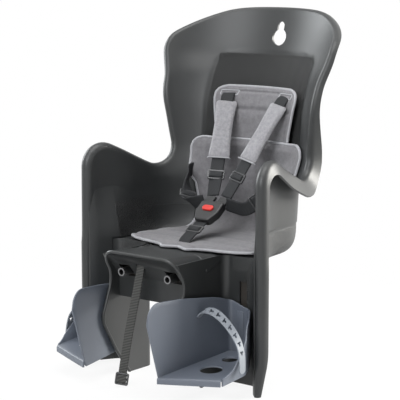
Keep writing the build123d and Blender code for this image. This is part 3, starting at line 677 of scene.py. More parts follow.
def plan_line(height):
    """Plan line at one height, from the right front edge round the back to the left front edge."""
    centre_y, hip_x, hip_y = between_sections(height)
    left = [
        (FRONT_X + FRONT_FLARE, FRONT_Y - FRONT_OVERRUN),
        (FRONT_X - FRONT_TUCK, FRONT_Y + 2 * FRONT_OVERRUN),
        (hip_x + (FRONT_X - hip_x) * SIDE_SHARE, (hip_y + FRONT_Y) / 2),
        (hip_x, hip_y),
        (hip_x * CHEEK_SHARE, centre_y - (centre_y - hip_y) * CHEEK_SET),
    ]
    points = np.array([(-x, y) for x, y in left] + [(0, centre_y)] + left[::-1])
    run = run_along(points)
    return natural_spline(run / run[-1] * 2 - 1, points, SHARES)


LATTICE = np.array([plan_line(height) for height in HEIGHTS])


def shell_points(share, height):
    """Points of the shell's inner face: share runs from -1 at the right front to 1 at the left front."""
    share, height = np.broadcast_arrays(np.asarray(share, float), np.asarray(height, float))
    row = np.clip((height - HEIGHTS[0]) / (HEIGHTS[1] - HEIGHTS[0]), 0, len(HEIGHTS) - 1.001)
    column = np.clip((share + 1) / 2 * (len(SHARES) - 1), 0, len(SHARES) - 1.001)
    r, c = row.astype(int), column.astype(int)
    fr, fc = (row - r)[..., None], (column - c)[..., None]
    low = LATTICE[r, c] * (1 - fc) + LATTICE[r, c + 1] * fc
    high = LATTICE[r + 1, c] * (1 - fc) + LATTICE[r + 1, c + 1] * fc
    return np.concatenate([low * (1 - fr) + high * fr, height[..., None]], -1)


HALF_SHARES = SHARES[len(SHARES) // 2:]


def share_at(y, height):
    """Left share at which the plan line of a height reaches y."""
    line = shell_points(HALF_SHARES, np.full(len(HALF_SHARES), height))
    return float(np.interp(-y, -line[:, 1], HALF_SHARES))


def back_y(x, height):
    """Depth of the shell's inner face at a place on the back."""
    line = shell_points(HALF_SHARES, np.full(len(HALF_SHARES), height))
    keep = np.maximum.accumulate(line[:, 0]) == line[:, 0]
    return float(np.interp(abs(x), line[keep, 0], line[keep, 1]))


print("shell plan:", LATTICE.shape[0], "heights of", LATTICE.shape[1], "points")

# %% [markdown]
# ## The moulded shell: its rim
# From the side, the rim runs from the top of the back down to a dip beside the hips, up to the arm wing and
# straight down the front of the leg guard. Everywhere it is rolled outwards, which makes the edge
# stiff and soft to the hand. The sheet is one grid whose last row lies on the rim. That row is then extruded
# step by step round the roll.

# %% Rim line
TOP_Z = 452.0
GUARD_BOTTOM = -198.0
RIM_LINE = [
    (470, TOP_Z, 0), (395, TOP_Z, 80), (290, 395, 60), (257, 290, 120), (271, 139, 35), (FRONT_Y, 231, 42),
    (FRONT_Y, GUARD_BOTTOM, 0),
]
RIM_COLUMNS = 150
RIM_SAMPLES = 1500
CROWN_SHARE, CROWN_STEPS = 0.12, 20
POST_STRIP = 0.07
BEFORE_WING = 0.62


def rim_places():
    """Share and height of the left rim, evenly spaced from the top centre to the foot of the guard."""
    side = resampled(rounded_line(RIM_LINE), RIM_SAMPLES)
    places = [(share_at(y, z), z) for y, z in side]
    first = next(i for i, (share, _) in enumerate(places) if share > CROWN_SHARE)
    crown_share, crown_z = places[first]
    crown = []
    for i in range(CROWN_STEPS):
        crown.append((crown_share * i / CROWN_STEPS, TOP_Z + (crown_z - TOP_Z) * (i / CROWN_STEPS) ** 2))
    places = np.array(crown + places[first:])
    solid = shell_points(places[:, 0], places[:, 1])
    run = run_along(solid)
    even = np.linspace(0, run[-1], RIM_COLUMNS + 1)
    return np.stack([np.interp(even, run, places[:, 0]), np.interp(even, run, places[:, 1])], -1), even


RIM, RIM_RUN = rim_places()
dip = int(np.argmin(np.where(RIM_RUN < RIM_RUN[-1] * BEFORE_WING, RIM[:, 1], np.inf)))
apex = dip + int(np.argmax(RIM[dip:, 1]))
pan_end = int(np.argmax(RIM[:, 1] < JOIN_Z))
print("rim length", round(RIM_RUN[-1] * 2), "mm; dip at", RIM[dip], "apex at", RIM[apex])

# %% Shell sheet
SHEET_ROWS = 60
COLUMN_BEND, COLUMN_LEAD = 0.3, 30.0
START_SPREAD = 1.5
HIP_Y = 240.0
ROLL_STEPS = 8
SKIRT_STEPS = 2
CORNER_Z = 395.0
PAST_APEX, ABOVE_FOOT = 10, 5
# Rolled rim along its run: top, corner, side, dip, wing, apex, then down the guard to its rounded foot
corner = int(np.argmax(RIM[:, 1] < CORNER_Z))
ROLL_STOPS = [
    0, corner, (corner + dip) // 2, dip, (dip + apex) // 2, apex, apex + PAST_APEX,
    RIM_COLUMNS - ABOVE_FOOT, RIM_COLUMNS,
]
ROLL_EASE = 13


def along_rim(values):
    """A value at each rim place from the values at the stops, with its corners eased."""
    line = np.interp(np.arange(RIM_COLUMNS + 1), ROLL_STOPS, values)
    return np.convolve(np.pad(line, ROLL_EASE // 2, "edge"), np.ones(ROLL_EASE) / ROLL_EASE, "valid")


ROLL_RADIUS = along_rim([7, 8, 8.5, 10, 11, 11.5, 11.5, 11.5, 4])
ROLL_TURN = np.radians(along_rim([95, 110, 118, 140, 146, 160, 172, 172, 172]))
ROLL_SKIRT = along_rim([4, 5, 6, 26, 30, 16, 4, 4, 1])


def sheet_start():
    """Where each column of the sheet starts: round the bucket, then down behind the front edge."""
    share = np.zeros(RIM_COLUMNS + 1)
    height = np.full(RIM_COLUMNS + 1, JOIN_Z)
    front = RIM[pan_end, 0] - POST_STRIP
    hip = share_at(HIP_Y, JOIN_Z)
    share[:dip + 1] = hip * (RIM_RUN[:dip + 1] / RIM_RUN[dip]) ** START_SPREAD
    forward = (RIM_RUN[dip:pan_end + 1] - RIM_RUN[dip]) / (RIM_RUN[pan_end] - RIM_RUN[dip])
    share[dip:pan_end + 1] = hip + (front - hip) * forward
    share[pan_end:] = RIM[pan_end:, 0] - POST_STRIP
    height[pan_end:] = RIM[pan_end:, 1]
    return share, height


def roll_frame(along):
    """At each rim place: away from the sheet within its surface, outwards, and the base of the roll."""
    small = 0.002
    share, height = RIM[:, 0], RIM[:, 1]
    by_share = (shell_points(share + small, height) - shell_points(share - small, height)) / (2 * small)
    by_height = (shell_points(share, height + 1) - shell_points(share, height - 1)) / 2
    out = np.cross(by_height, by_share)
    out -= along * np.sum(out * along, axis=1)[:, None]
    out /= np.linalg.norm(out, axis=1)[:, None]
    off = np.cross(along, out)
    base = []
    for k, (across, up) in enumerate(zip(by_share, by_height)):
        turn, *_ = np.linalg.lstsq(np.stack([across, up], -1), off[k] * ROLL_RADIUS[k], rcond=None)
        base.append((share[k] - turn[0], height[k] - turn[1]))
    return off, out, np.array(base)


def sheet_half():
    """Left half of the sheet by column and row, and the roll's directions at each column.

    Each column bends so that it meets the rim straight on; straight columns would cross beside the dip.
    """
    rim = shell_points(RIM[:, 0], RIM[:, 1])
    along = np.gradient(rim, axis=0)
    along /= np.linalg.norm(along, axis=1)[:, None]
    along[0] = (1, 0, 0)
    off, out, base = roll_frame(along)
    start = np.stack(sheet_start(), -1)
    reach = np.linalg.norm(shell_points(*base.T) - shell_points(*start.T), axis=1)
    lead_length = np.minimum(COLUMN_BEND * reach, COLUMN_LEAD)
    lead = base - (RIM - base) * (lead_length / ROLL_RADIUS)[:, None]
    rows = []
    for j in range(SHEET_ROWS + 1):
        t = j / SHEET_ROWS
        share, height = ((1 - t) ** 2 * start + 2 * t * (1 - t) * lead + t * t * base).T
        rows.append(shell_points(share, height))
    return np.array(rows).transpose(1, 0, 2), off, out


PANEL_HALF = 112.0
PANEL_TOP = 362.0
PANEL_ROUND = 18.0
PANEL_DEPTH = 3.2
PANEL_EDGE = 3.0
PANEL_ARCH, PANEL_ARCH_TURN = 5.0, 1.4
PANEL_BEHIND_Y = 250.0


def recess(points):
    """Sink the back's panel: how far each point goes back."""
    x, z = points[..., 0], points[..., 2]
    over_x = np.abs(x) - (PANEL_HALF - PANEL_ROUND)
    over_z = z - (PANEL_TOP + PANEL_ARCH * np.cos(x / PANEL_HALF * PANEL_ARCH_TURN) - PANEL_ROUND)
    outside = np.hypot(np.maximum(over_x, 0), np.maximum(over_z, 0))
    outside += np.minimum(np.maximum(over_x, over_z), 0)
    inside = np.clip((PANEL_ROUND - outside) / PANEL_EDGE + 0.5, 0, 1)
    on_back = points[..., 1] > PANEL_BEHIND_Y
    return PANEL_DEPTH * inside * inside * (3 - 2 * inside) * on_back


def shell_sheet(bm):
    """Back, bucket and wings with the rolled rim."""
    left, off, out = sheet_half()
    other_side = np.array((-1, 1, 1))
    place = np.concatenate([left[:0:-1] * other_side, left])
    off = np.concatenate([off[:0:-1] * other_side, off])
    out = np.concatenate([out[:0:-1] * other_side, out])
    columns = len(place) - 1
    place[..., 1] += recess(place)
    column_of = bm.verts.layers.int.new("column")
    table = mapped_grid(bm, columns, SHEET_ROWS, place)
    for (i, _), vert in table.items():
        vert[column_of] = i
    chain = [table[i, SHEET_ROWS] for i in range(columns + 1)]
    rim_edges = [bm.edges.get(pair) for pair in zip(chain[:-1], chain[1:])]
    index = np.abs(np.arange(columns + 1) - RIM_COLUMNS)
    base = place[:, -1]
    for k in range(1, ROLL_STEPS + SKIRT_STEPS + 1):
        made = bmesh.ops.extrude_edge_only(bm, edges=rim_edges)["geom"]
        edges = [item for item in made if isinstance(item, bmesh.types.BMEdge)]
        rim_edges = [edge for edge in edges if all(vert in made for vert in edge.verts)]
        for vert in (v for v in made if isinstance(v, bmesh.types.BMVert)):
            i = vert[column_of]
            radius, turn, skirt = ROLL_RADIUS[index[i]], ROLL_TURN[index[i]], ROLL_SKIRT[index[i]]
            angle = turn * min(k / ROLL_STEPS, 1)
            run = skirt * max(k - ROLL_STEPS, 0) / SKIRT_STEPS
            forward = radius * math.sin(angle) + run * math.cos(turn)
            outward = radius * (1 - math.cos(angle)) + run * math.sin(turn)
            vert.co = Vector(base[i] + off[i] * forward + out[i] * outward)


def shell_piece(name, bm):
    """One piece of the shell moulding."""
    return piece(name, bm, "seat", SHELL, ["seat_shell"])


bm = bmesh.new()
shell_sheet(bm)
print("shell sheet:", len(bm.verts), "points")
shell = walled(shell_piece("shell", bm), WALL)

# %% [markdown]
# ## The moulded shell: its openings
# A keyhole near the top hangs the seat on a hook, and slots let the harness through. Cutting them out of a
# curved sheet by hand would spoil its even rows, so the wall gets its thickness first and a Boolean cuts it.
# The result is read back as a plain mesh.

# %% Openings
KEYHOLE_Z = 395.0
KEYHOLE_RADIUS = 15.5
KEYHOLE_SLOT_TOP = 424.0
KEYHOLE_SLOT_WIDTH = 15.0
STRAP_HOLE = (29.0, 6.0)
SHOULDER_SLOT = (65.0, 292.0)
WAIST_SLOT = (116.0, 146.0)
KEYHOLE_STEPS, KEYHOLE_END_STEPS = 47, 16
KEYHOLE_CUT, SHOULDER_CUT, WAIST_CUT = (340, 460), (300, 400), (230, 400)


def finished_mesh(obj):
    """The object's mesh with its modifiers carried out, and none left on it."""
    bpy.context.view_layer.update()
    view = bpy.context.evaluated_depsgraph_get()
    mesh = bpy.data.meshes.new_from_object(obj.evaluated_get(view))
    obj.modifiers.clear()
    obj.data = mesh
    return obj


def cut_away(obj, cutter_bm):
    """Cut a bmesh in millimetres out of an object."""
    bmesh.ops.recalc_face_normals(cutter_bm, faces=cutter_bm.faces)
    bmesh.ops.scale(cutter_bm, vec=(MM, MM, MM), verts=cutter_bm.verts)
    mesh = bpy.data.meshes.new("cutter")
    cutter_bm.to_mesh(mesh)
    cutter_bm.free()
    cutter = bpy.data.objects.new("cutter", mesh)
    scene.collection.objects.link(cutter)
    cut = obj.modifiers.new("openings", "BOOLEAN")
    cut.operation = "DIFFERENCE"
    cut.solver = "EXACT"
    cut.object = cutter
    finished_mesh(obj)
    bpy.data.objects.remove(cutter)


def prism(bm, outline, low, high):
    """Prism along the seat of an outline in x and z, between two depths."""
    corners = [bm.verts.new((x, low, z)) for x, z in outline]
    face = bm.faces.new(corners)
    made = bmesh.ops.extrude_face_region(bm, geom=[face])["geom"]
    moved = [item for item in made if isinstance(item, bmesh.types.BMVert)]
    bmesh.ops.translate(bm, vec=(0, high - low, 0), verts=moved)


def keyhole_outline():
    """Round bulb with a narrower slot above it."""
    half = KEYHOLE_SLOT_WIDTH / 2
    meet = math.asin(half / KEYHOLE_RADIUS)
    angles = np.linspace(math.pi / 2 - meet, -3 * math.pi / 2 + meet, KEYHOLE_STEPS)
    bulb = [(KEYHOLE_RADIUS * math.cos(a), KEYHOLE_Z + KEYHOLE_RADIUS * math.sin(a)) for a in angles]
    top = KEYHOLE_SLOT_TOP - half
    angles = np.linspace(math.pi, 0, KEYHOLE_END_STEPS)
    return bulb + [(half * math.cos(a), top + half * math.sin(a)) for a in angles]


def strap_hole(sign, place, width, height):
    """Outline of a slot about its middle, on the left or mirrored to the right."""
    corners = ((-1, -1), (1, -1), (1, 1), (-1, 1))
    return [(sign * place[0] + a * width / 2, place[1] + b * height / 2) for a, b in corners]


long_side, short_side = STRAP_HOLE
cutter = bmesh.new()
prism(cutter, keyhole_outline(), *KEYHOLE_CUT)
for sign in (1, -1):
    prism(cutter, strap_hole(sign, SHOULDER_SLOT, long_side, short_side), *SHOULDER_CUT)
    prism(cutter, strap_hole(sign, WAIST_SLOT, short_side, long_side), *WAIST_CUT)
cut_away(shell, cutter)


def mark_inner_faces(obj):
    """Note at each point whether it faces into the seat, for the textured fields."""
    count = len(obj.data.vertices)
    where, facing = np.empty(count * 3), np.empty(count * 3)
    obj.data.vertices.foreach_get("co", where)
    obj.data.vertices.foreach_get("normal", facing)
    outward = where.reshape(-1, 3) - SEAT_MIDDLE
    inner = np.sum(outward[:, :2] * facing.reshape(-1, 3)[:, :2], axis=1) < 0
    mark = obj.data.attributes.new("inner_face", "FLOAT", "POINT")
    mark.data.foreach_set("value", inner.astype(float))


mark_inner_faces(shell)
print("shell with openings:", len(shell.data.polygons), "faces")

# %% [markdown]
# ## The moulded shell: hood and leg guards
# Below the bucket the part itself already has the true walls: the pan, the hood between the knees with its
# ceiling plate, and the two leg wells. A merged copy of that node is bisected above the pan and just
# behind the front posts, and its cuts are filled, so it carries on where the sheet starts.
# A rounded lip then runs along the hood's mouth and down the walls between the legs.

# %% Hood and leg guards
POST_CUT_Y = 82.0
BESIDE_HOOD_X = 100.0
PAN_ROUND = 8.0
PAN_EDGE_TURN = 1.2
HOOD_LIP = 3.0
MEDIAL_X = 86.0
CALF_Y = 118.0
HOOD_TOP = 40.0
HOOD_ROUND = 28.0
HOOD_RISE = 10 / 157
# The guard's front edge from the hood down: y, z and the radius of each corner
GUARD_LINE = [
    (-17, 40, 0), (8, -2, 30), (8, -24, 60), (-17, -89, 30), (20, -150, 40), (56, GUARD_BOTTOM, 0),
]


def node_copy(name):
    """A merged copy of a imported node, in millimetres."""
    bm = bmesh.new()
    bm.from_mesh(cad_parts[name].data)
    bmesh.ops.scale(bm, vec=(1 / MM, 1 / MM, 1 / MM), verts=bm.verts)
    bmesh.ops.remove_doubles(bm, verts=bm.verts, dist=0.005)
    return bm


def cut_off(bm, place, direction, faces=None, clear=True):
    """Remove what lies past a plane, among these faces or all, and close the cut."""
    faces = bm.faces[:] if faces is None else faces
    geom = set(faces)
    for face in faces:
        geom.update(face.edges)
        geom.update(face.verts)
    made = bmesh.ops.bisect_plane(
        bm, geom=list(geom), dist=0.001, plane_co=place, plane_no=direction, clear_outer=clear)
    if clear:
        edges = [item for item in made["geom_cut"] if isinstance(item, bmesh.types.BMEdge)]
        bmesh.ops.triangle_fill(bm, edges=edges, use_beauty=True)


def on_pan_edge(edge):
    """Is this a sharp edge between the top of the pan and the front of a leg well?"""
    for vert in edge.verts:
        x, y, z = vert.co
        if abs(z - PAN_Z) > 0.1 or abs(x) < MEDIAL_X or y < POST_CUT_Y:
            return False
    return len(edge.link_faces) == 2 and edge.calc_face_angle() > PAN_EDGE_TURN


bm = node_copy("seat_shell")
cut_off(bm, (0, 0, JOIN_Z), (0, 0, 1))
for sign in (1, -1):
    cut_off(bm, (sign * BESIDE_HOOD_X, 0, 0), (sign, 0, 0), clear=False)
    beside = [f for f in bm.faces if f.calc_center_median().x * sign > BESIDE_HOOD_X]
    cut_off(bm, (0, POST_CUT_Y, 0), (0, -1, 0), beside)
bmesh.ops.dissolve_limit(bm, angle_limit=math.radians(0.5), verts=bm.verts[:], edges=bm.edges[:])
pan_edges = [edge for edge in bm.edges if on_pan_edge(edge)]
bmesh.ops.bevel(
    bm, geom=pan_edges, offset=PAN_ROUND, segments=5, profile=0.5, affect="EDGES", material=-1,
    clamp_overlap=True)
print("hood and guards:", len(bm.faces), "faces,", len(pan_edges), "edges rounded")
guards = shell_piece("shell_hood_and_guards", bm)
mark_inner_faces(guards)
SHARP = math.radians(32)
for part in (shell, guards):
    part.data.set_sharp_from_angle(angle=SHARP)


def tube(bm, line, radius, sides=10):
    """A round tube along a line, with its ends closed."""
    line = np.asarray(line, float)
    step = np.gradient(line, axis=0)
    step /= np.linalg.norm(step, axis=1)[:, None]
    side = np.cross(step[0], (0.3, 0.5, 0.8))
    place = []
    for point, along in zip(line, step):
        side = side - along * (side @ along)
        side /= np.linalg.norm(side)
        up = np.cross(along, side)
        turns = np.linspace(0, 2 * math.pi, sides + 1)
        place.append([point + radius * (side * math.cos(a) + up * math.sin(a)) for a in turns])
    table = mapped_grid(bm, len(line) - 1, sides, place)
    for end in (0, len(line) - 1):
        bm.faces.new([table[end, j] for j in range(sides)])
    bmesh.ops.remove_doubles(bm, verts=list(table.values()), dist=0.001)
    bmesh.ops.recalc_face_normals(bm, faces=bm.faces)


def hood_lip_line():
    """Down the left wall's front edge, round the hood's mouth and down the right one."""
    side = rounded_line(GUARD_LINE, 3.0)
    middle = WALL / 2
    straight = [(MEDIAL_X - middle, y, z) for y, z in side if z < HOOD_TOP - HOOD_ROUND]
    centre_x, centre_z = MEDIAL_X - HOOD_ROUND, HOOD_TOP - HOOD_ROUND
    arch = []
    for angle in np.linspace(0, math.pi / 2, 14):
        z = centre_z + (HOOD_ROUND - middle) * math.sin(angle)
        y = float(np.interp(-z, -side[:, 1], side[:, 0]))
        arch.append((centre_x + (HOOD_ROUND - middle) * math.cos(angle), y, z))
    left = np.array(straight[::-1] + arch)
    return np.concatenate([left, left[::-1] * (-1, 1, 1)])


LINING_FRONT, LINING_REAR = 66.0, 104.0
LINING_FADE = 190.0
LINING_X, LINING_SLOPE = 187.0, -0.573
LINING_BEND_Y, LINING_BEND = 82.0, 4.5
LINING_INNERMOST = 158.0
LINING_TOP = 140.0
LINING_THICK = 1.6
LINING_CLEAR = 0.6


def lining_x(y, z):
    """Inner face of a leg guard, eased outwards into the wing above the pan."""
    ahead = max(0.0, LINING_BEND_Y - y) / (LINING_BEND_Y - LINING_FRONT)
    bend = LINING_BEND * ahead * ahead
    guard_x = max(LINING_X + LINING_SLOPE * (y - LINING_FRONT), LINING_INNERMOST) + bend
    if z <= PAN_Z:
        return guard_x
    wing_x = float(shell_points(share_at(y, z), z)[0]) + LINING_CLEAR + bend
    rise = (z - PAN_Z) / (LINING_TOP - PAN_Z)
    rise = rise * rise * (3 - 2 * rise)
    fade = float(np.clip((y - LINING_REAR) / (LINING_FADE - LINING_REAR), 0, 1))
    fill = (1 - rise) * (1 - fade * fade * (3 - 2 * fade))
    return wing_x + (min(guard_x, wing_x) - wing_x) * fill


def guard_lining(bm):
    """Smooth inner wall from the foot of the guard up into the wing."""
    near = np.linspace(LINING_FRONT, LINING_REAR, 20)
    beyond = np.linspace(LINING_REAR, LINING_FADE, 22)
    low = np.linspace(GUARD_BOTTOM + 1, PAN_Z, 40)
    high = np.linspace(PAN_Z, LINING_TOP, 25)
    for depths, heights in ((near, low), (near, high), (beyond, high)):
        place = [[(lining_x(y, z), y, z) for z in heights] for y in depths[::-1]]
        mapped_grid(bm, len(depths) - 1, len(heights) - 1, place)
    bmesh.ops.remove_doubles(bm, verts=bm.verts, dist=0.01)


SADDLE_FROM, SADDLE_TO = 66.0, 119.0
SADDLE_ROUND = 9.0
SADDLE_PROUD = 0.5
SADDLE_THICK = 2.0


def saddle(bm, sign):
    """Skin where the hood's round shoulder broadens into the square front of the pan."""
    columns, rows = 16, 18
    place = []
    for i in range(columns + 1):
        angle = math.pi / 2 * i / columns
        line = []
        for j in range(rows + 1):
            v = j / rows
            y = SADDLE_FROM + (SADDLE_TO - SADDLE_FROM) * v
            radius = HOOD_ROUND + (SADDLE_ROUND - HOOD_ROUND) * v * v * (3 - 2 * v)
            top = PAN_Z + (CALF_Y + WALL - y) * HOOD_RISE + SADDLE_PROUD
            side = MEDIAL_X + SADDLE_PROUD
            x = side - radius + radius * math.cos(angle)
            line.append((sign * x, y, top - radius + radius * math.sin(angle)))
        place.append(line[::-1] if sign > 0 else line)
    mapped_grid(bm, columns, rows, place)


for side, sign in (("left", 1), ("right", -1)):
    bm = bmesh.new()
    guard_lining(bm)
    turned_over(bm, side)
    mark_inner_faces(walled(shell_piece(f"{side}_guard_lining", bm), LINING_THICK))
    bm = bmesh.new()
    saddle(bm, sign)
    walled(shell_piece(f"{side}_hood_saddle", bm), SADDLE_THICK)
bm = bmesh.new()
tube(bm, resampled(hood_lip_line(), 160), HOOD_LIP)
shell_piece("hood_lip", bm)
print("hood lip, guard linings and saddles done")

# %% [markdown]
# ## Footrests
# Each footrest is a thin blue-grey moulding: a floor with two drain holes, a high wall towards the bike, a
# lower one round the heel and outside, and a rounded lip in front. Walls, floor and lip are three grids
# laid along the foot's outline, and a Solidify gives them one thickness. The holes are cut last.

# %% Footrests
FOOT_WALL = 3.0
FOOT_PATH = [(87, -62, 0), (105, 110, 6), (146.5, 110, 12), (171.5, 74.5, 18), (187, 43, 28), (188, -20, 0)]
FOOT_FLOOR_HEEL = -138.0
FOOT_FLOOR_SLOPE = math.tan(math.radians(5))
FOOT_HEEL_Y = 113.0
FOOT_SKIRT = 12.0
FOOT_COLUMNS = 110
FOOT_ROWS = 16
MEDIAL_TOP = [(-82, -25), (-60, -22), (8, -26), (78, -37), (110, -47)]
LATERAL_TOP = [(-20, -149), (-14, -147), (-7, -143), (22, -118), (39, -98), (53, -82), (70, -68), (110, -58)]
FRONT_LEAN = 31.0
FRONT_ROUND = 24.0
FRONT_DROP = 36.0
TOE_ROUND = 4.0
LATERAL_FLARE = 7.0
LEAN_RUN = 150.0
FLARE_RUN, FLARE_EASE, FLARE_END = 80.0, 50.0, 22.0
LIP_PROFILE = [(5, 12), (5, 4), (4.2, 1.8), (2.4, 0.5), (0, 0)]
SOLE_REACH = 1.5
FOOT_HOLES = [(141, 12, 20), (136, 70, 14)]
FOOT_EDGE = 1.2
NECK_LOW, NECK_HIGH = (121, 109, -112), (135, 122.4, -64)
NECK_EDGE = 1.0


def floor_z(y):
    return FOOT_FLOOR_HEEL + (y - FOOT_HEEL_Y) * FOOT_FLOOR_SLOPE


def wall_top(path, run):
    """Height of the wall's upper edge at each point of the outline."""
    heel_start = run[np.argmax(path[:, 1])]
    heel_end = run[len(path) - 1 - np.argmax(path[::-1, 1])]
    medial = np.interp(path[:, 1], *np.transpose(MEDIAL_TOP))
    lateral = np.interp(path[:, 1], *np.transpose(LATERAL_TOP))
    share = np.clip((run - heel_start) / (heel_end - heel_start), 0, 1)
    top = medial * (1 - share) + lateral * share
    near_front = np.clip(1 - run / FRONT_ROUND, 0, 1)
    top -= FRONT_DROP * (1 - np.sqrt(1 - near_front**2))
    smooth = np.convolve(np.pad(top, 3, "edge"), np.ones(7) / 7, "valid")
    keep = run < FRONT_ROUND
    return np.where(keep, top, smooth)


def footrest_walls(bm):
    path = resampled(rounded_line(FOOT_PATH), FOOT_COLUMNS + 1)
    run = run_along(path)
    top = wall_top(path, run)
    along = np.gradient(path, axis=0)
    along /= np.linalg.norm(along, axis=1)[:, None]
    outward = np.stack([-along[:, 1], along[:, 0]], -1)
    left = run[-1] - run
    lean = FRONT_LEAN * np.clip(1 - run / LEAN_RUN, 0, 1)
    flare = LATERAL_FLARE * np.clip((FLARE_RUN - left) / FLARE_EASE, 0, 1) * np.clip(left / FLARE_END, 0, 1)
    near_front = np.clip(1 - run / TOE_ROUND, 0, 1)
    lift = TOE_ROUND * (1 - np.sqrt(1 - near_front**2))
    place = []
    for (x, y), high, back, wide, raised, side in zip(path, top, lean, flare, lift, outward):
        low = floor_z(y) - FOOT_SKIRT + raised
        column = []
        for j in range(FOOT_ROWS + 1):
            t = j / FOOT_ROWS
            shift = side * wide * t * t
            column.append((x + shift[0], y - back * t + shift[1], low + (high - low) * t))
        place.append(column)
    mapped_grid(bm, FOOT_COLUMNS, FOOT_ROWS, place)
    return path


def footrest_floor(bm, path):
    """Floor between the walls, and the lip that rounds down in front of it."""
    heel = int(np.argmax(path[:, 1]))
    medial, lateral = path[:heel + 1], path[heel:]
    columns, rows = 24, 30
    place = []
    for i in range(columns + 1):
        u = i / columns
        front_y = path[0, 1] + (path[-1, 1] - path[0, 1]) * u
        column = []
        for j in range(rows + 1):
            y = front_y + (FOOT_HEEL_Y - FOOT_WALL - front_y) * j / rows
            left = float(np.interp(y, medial[:, 1], medial[:, 0])) - SOLE_REACH
            right = float(np.interp(-y, -lateral[:, 1], lateral[:, 0])) + SOLE_REACH
            column.append((left + (right - left) * u, y, floor_z(y)))
        place.append(column)
    mapped_grid(bm, columns, rows, place)
    lip = [[(x, y - ahead, z - down) for ahead, down in LIP_PROFILE] for (x, y, z), *_ in place]
    mapped_grid(bm, columns, len(LIP_PROFILE) - 1, lip)


def box(bm, low, high, rounding):
    """A box between two corners, with its edges rounded."""
    bmesh.ops.create_cube(bm, size=1)
    bmesh.ops.scale(bm, vec=[b - a for a, b in zip(low, high)], verts=bm.verts)
    bmesh.ops.translate(bm, vec=[(a + b) / 2 for a, b in zip(low, high)], verts=bm.verts)
    bmesh.ops.bevel(
        bm, geom=bm.edges[:], offset=rounding, segments=2, profile=0.5, affect="EDGES", material=-1)


def drain_holes(side):
    cutter = bmesh.new()
    for x, y, radius in FOOT_HOLES:
        made = bmesh.ops.create_cone(
            cutter, cap_ends=True, segments=48, radius1=radius, radius2=radius, depth=60)["verts"]
        bmesh.ops.translate(cutter, vec=(x, y, floor_z(y)), verts=made)
    turned_over(cutter, side)
    return cutter


def edge_round(obj, width, segments=2, degrees=40):
    """A live bevel that rounds the sharp edges of a finished mesh."""
    rounding = obj.modifiers.new("rounded_edges", "BEVEL")
    rounding.width = width * MM
    rounding.segments = segments
    rounding.limit_method = "ANGLE"
    rounding.angle_limit = math.radians(degrees)


def foot_piece(name, bm, side):
    """One piece of a footrest moulding."""
    bmesh.ops.remove_doubles(bm, verts=bm.verts, dist=0.01)
    turned_over(bm, side)
    body = f"{side}_footrest"
    return piece(f"{body}_{name}", bm, body, FOOTREST, [body])


for side in ("left", "right"):
    bm = bmesh.new()
    outline = footrest_walls(bm)
    tub = finished_mesh(walled(foot_piece("walls", bm, side), FOOT_WALL))
    edge_round(tub, FOOT_EDGE)
    bm = bmesh.new()
    footrest_floor(bm, outline)
    sole = finished_mesh(walled(foot_piece("sole", bm, side), FOOT_WALL))
    cut_away(sole, drain_holes(side))
    sole.data.set_sharp_from_angle(angle=SHARP)
    bm = bmesh.new()
    box(bm, NECK_LOW, NECK_HIGH, NECK_EDGE)
    foot_piece("neck", bm, side)
print("footrest:", len(tub.data.polygons) + len(sole.data.polygons), "faces each")

# %% [markdown]
# ## Foot straps
# A soft rubber strap springs from the inner wall, arches over the foot and hooks on the outer wall by one of
# its T-shaped holes. It is a fine grid bent along the arch. The holes are cells taken out of
# the grid, and a Solidify gives it body.

# %% Foot straps
STRAP_WIDTH = 16.0
STRAP_THICK = 2.4
STRAP_Y = 26.0
STRAP_ARCH = [(96.5, -66), (108, -53), (128, -50), (156, -61), (180, -81), (195.5, -104)]
STRAP_TAIL = [(200, -122), (202, -146)]
STRAP_SKEW = 14.0
STRAP_TILT = math.radians(40)
STRAP_END = 7.0
CELL = 1.25
# T-shaped holes, counted in cells: the first one, their pitch, and the bare stretch at each end
TEE_FIRST, TEE_PITCH = 14, 13
BARE_START, BARE_END = 12, 26
BAR_HALF, STEM_HALF = 3.6, 1.6


def strap_line():
    """The strap's line in x and z: a smooth arch and a tail that hangs outside the wall."""
    points = np.array(STRAP_ARCH + STRAP_TAIL, float)
    run = run_along(points)
    return natural_spline(run, points, np.arange(0, run[-1], CELL))


def in_tee(i, j, middle):
    """Is this cell part of a T-shaped hole?"""
    along = (i - TEE_FIRST) % TEE_PITCH
    bar = along in (0, 1) and abs(j - middle) < BAR_HALF
    stem = along in (2, 3, 4, 5) and abs(j - middle) < STEM_HALF
    return bar or stem


def foot_strap(bm):
    line = strap_line()
    rows = round(STRAP_WIDTH / CELL)
    place = []
    for i, (x, z) in enumerate(line):
        share = i / len(line)
        end = min(i, len(line) - 1 - i) * CELL
        half = STRAP_WIDTH / 2 * min(1, math.sqrt(max(0.15, 1 - (1 - min(end / STRAP_END, 1)) ** 2)))
        y = STRAP_Y + STRAP_SKEW * (0.5 - share)
        tilt = STRAP_TILT * math.sin(math.pi * min(1, share / 0.75))
        across = [half * (1 - 2 * j / rows) for j in range(rows + 1)]
        place.append([(x, y + c * math.cos(tilt), z + c * math.sin(tilt)) for c in across])
    table = mapped_grid(bm, len(line) - 1, rows, place)
    holes = []
    for i, j in table:
        if BARE_START < i < len(line) - BARE_END and j < rows and in_tee(i, j, (rows - 1) / 2):
            corners = [table[i, j], table[i + 1, j], table[i + 1, j + 1], table[i, j + 1]]
            holes.append(bm.faces.get(corners))
    bmesh.ops.delete(bm, geom=holes, context="FACES")


for side in ("left", "right"):
    bm = bmesh.new()
    foot_strap(bm)
    turned_over(bm, side)
    body, node = f"{side}_footrest", f"{side}_foot_strap"
    strap = piece(f"{side}_foot_band", bm, body, FOOT_STRAP, [node])
    walled(strap, STRAP_THICK, 0)
    edge_round(strap, 0.5, 2, 50)
print("foot strap:", len(strap.data.polygons), "cells")

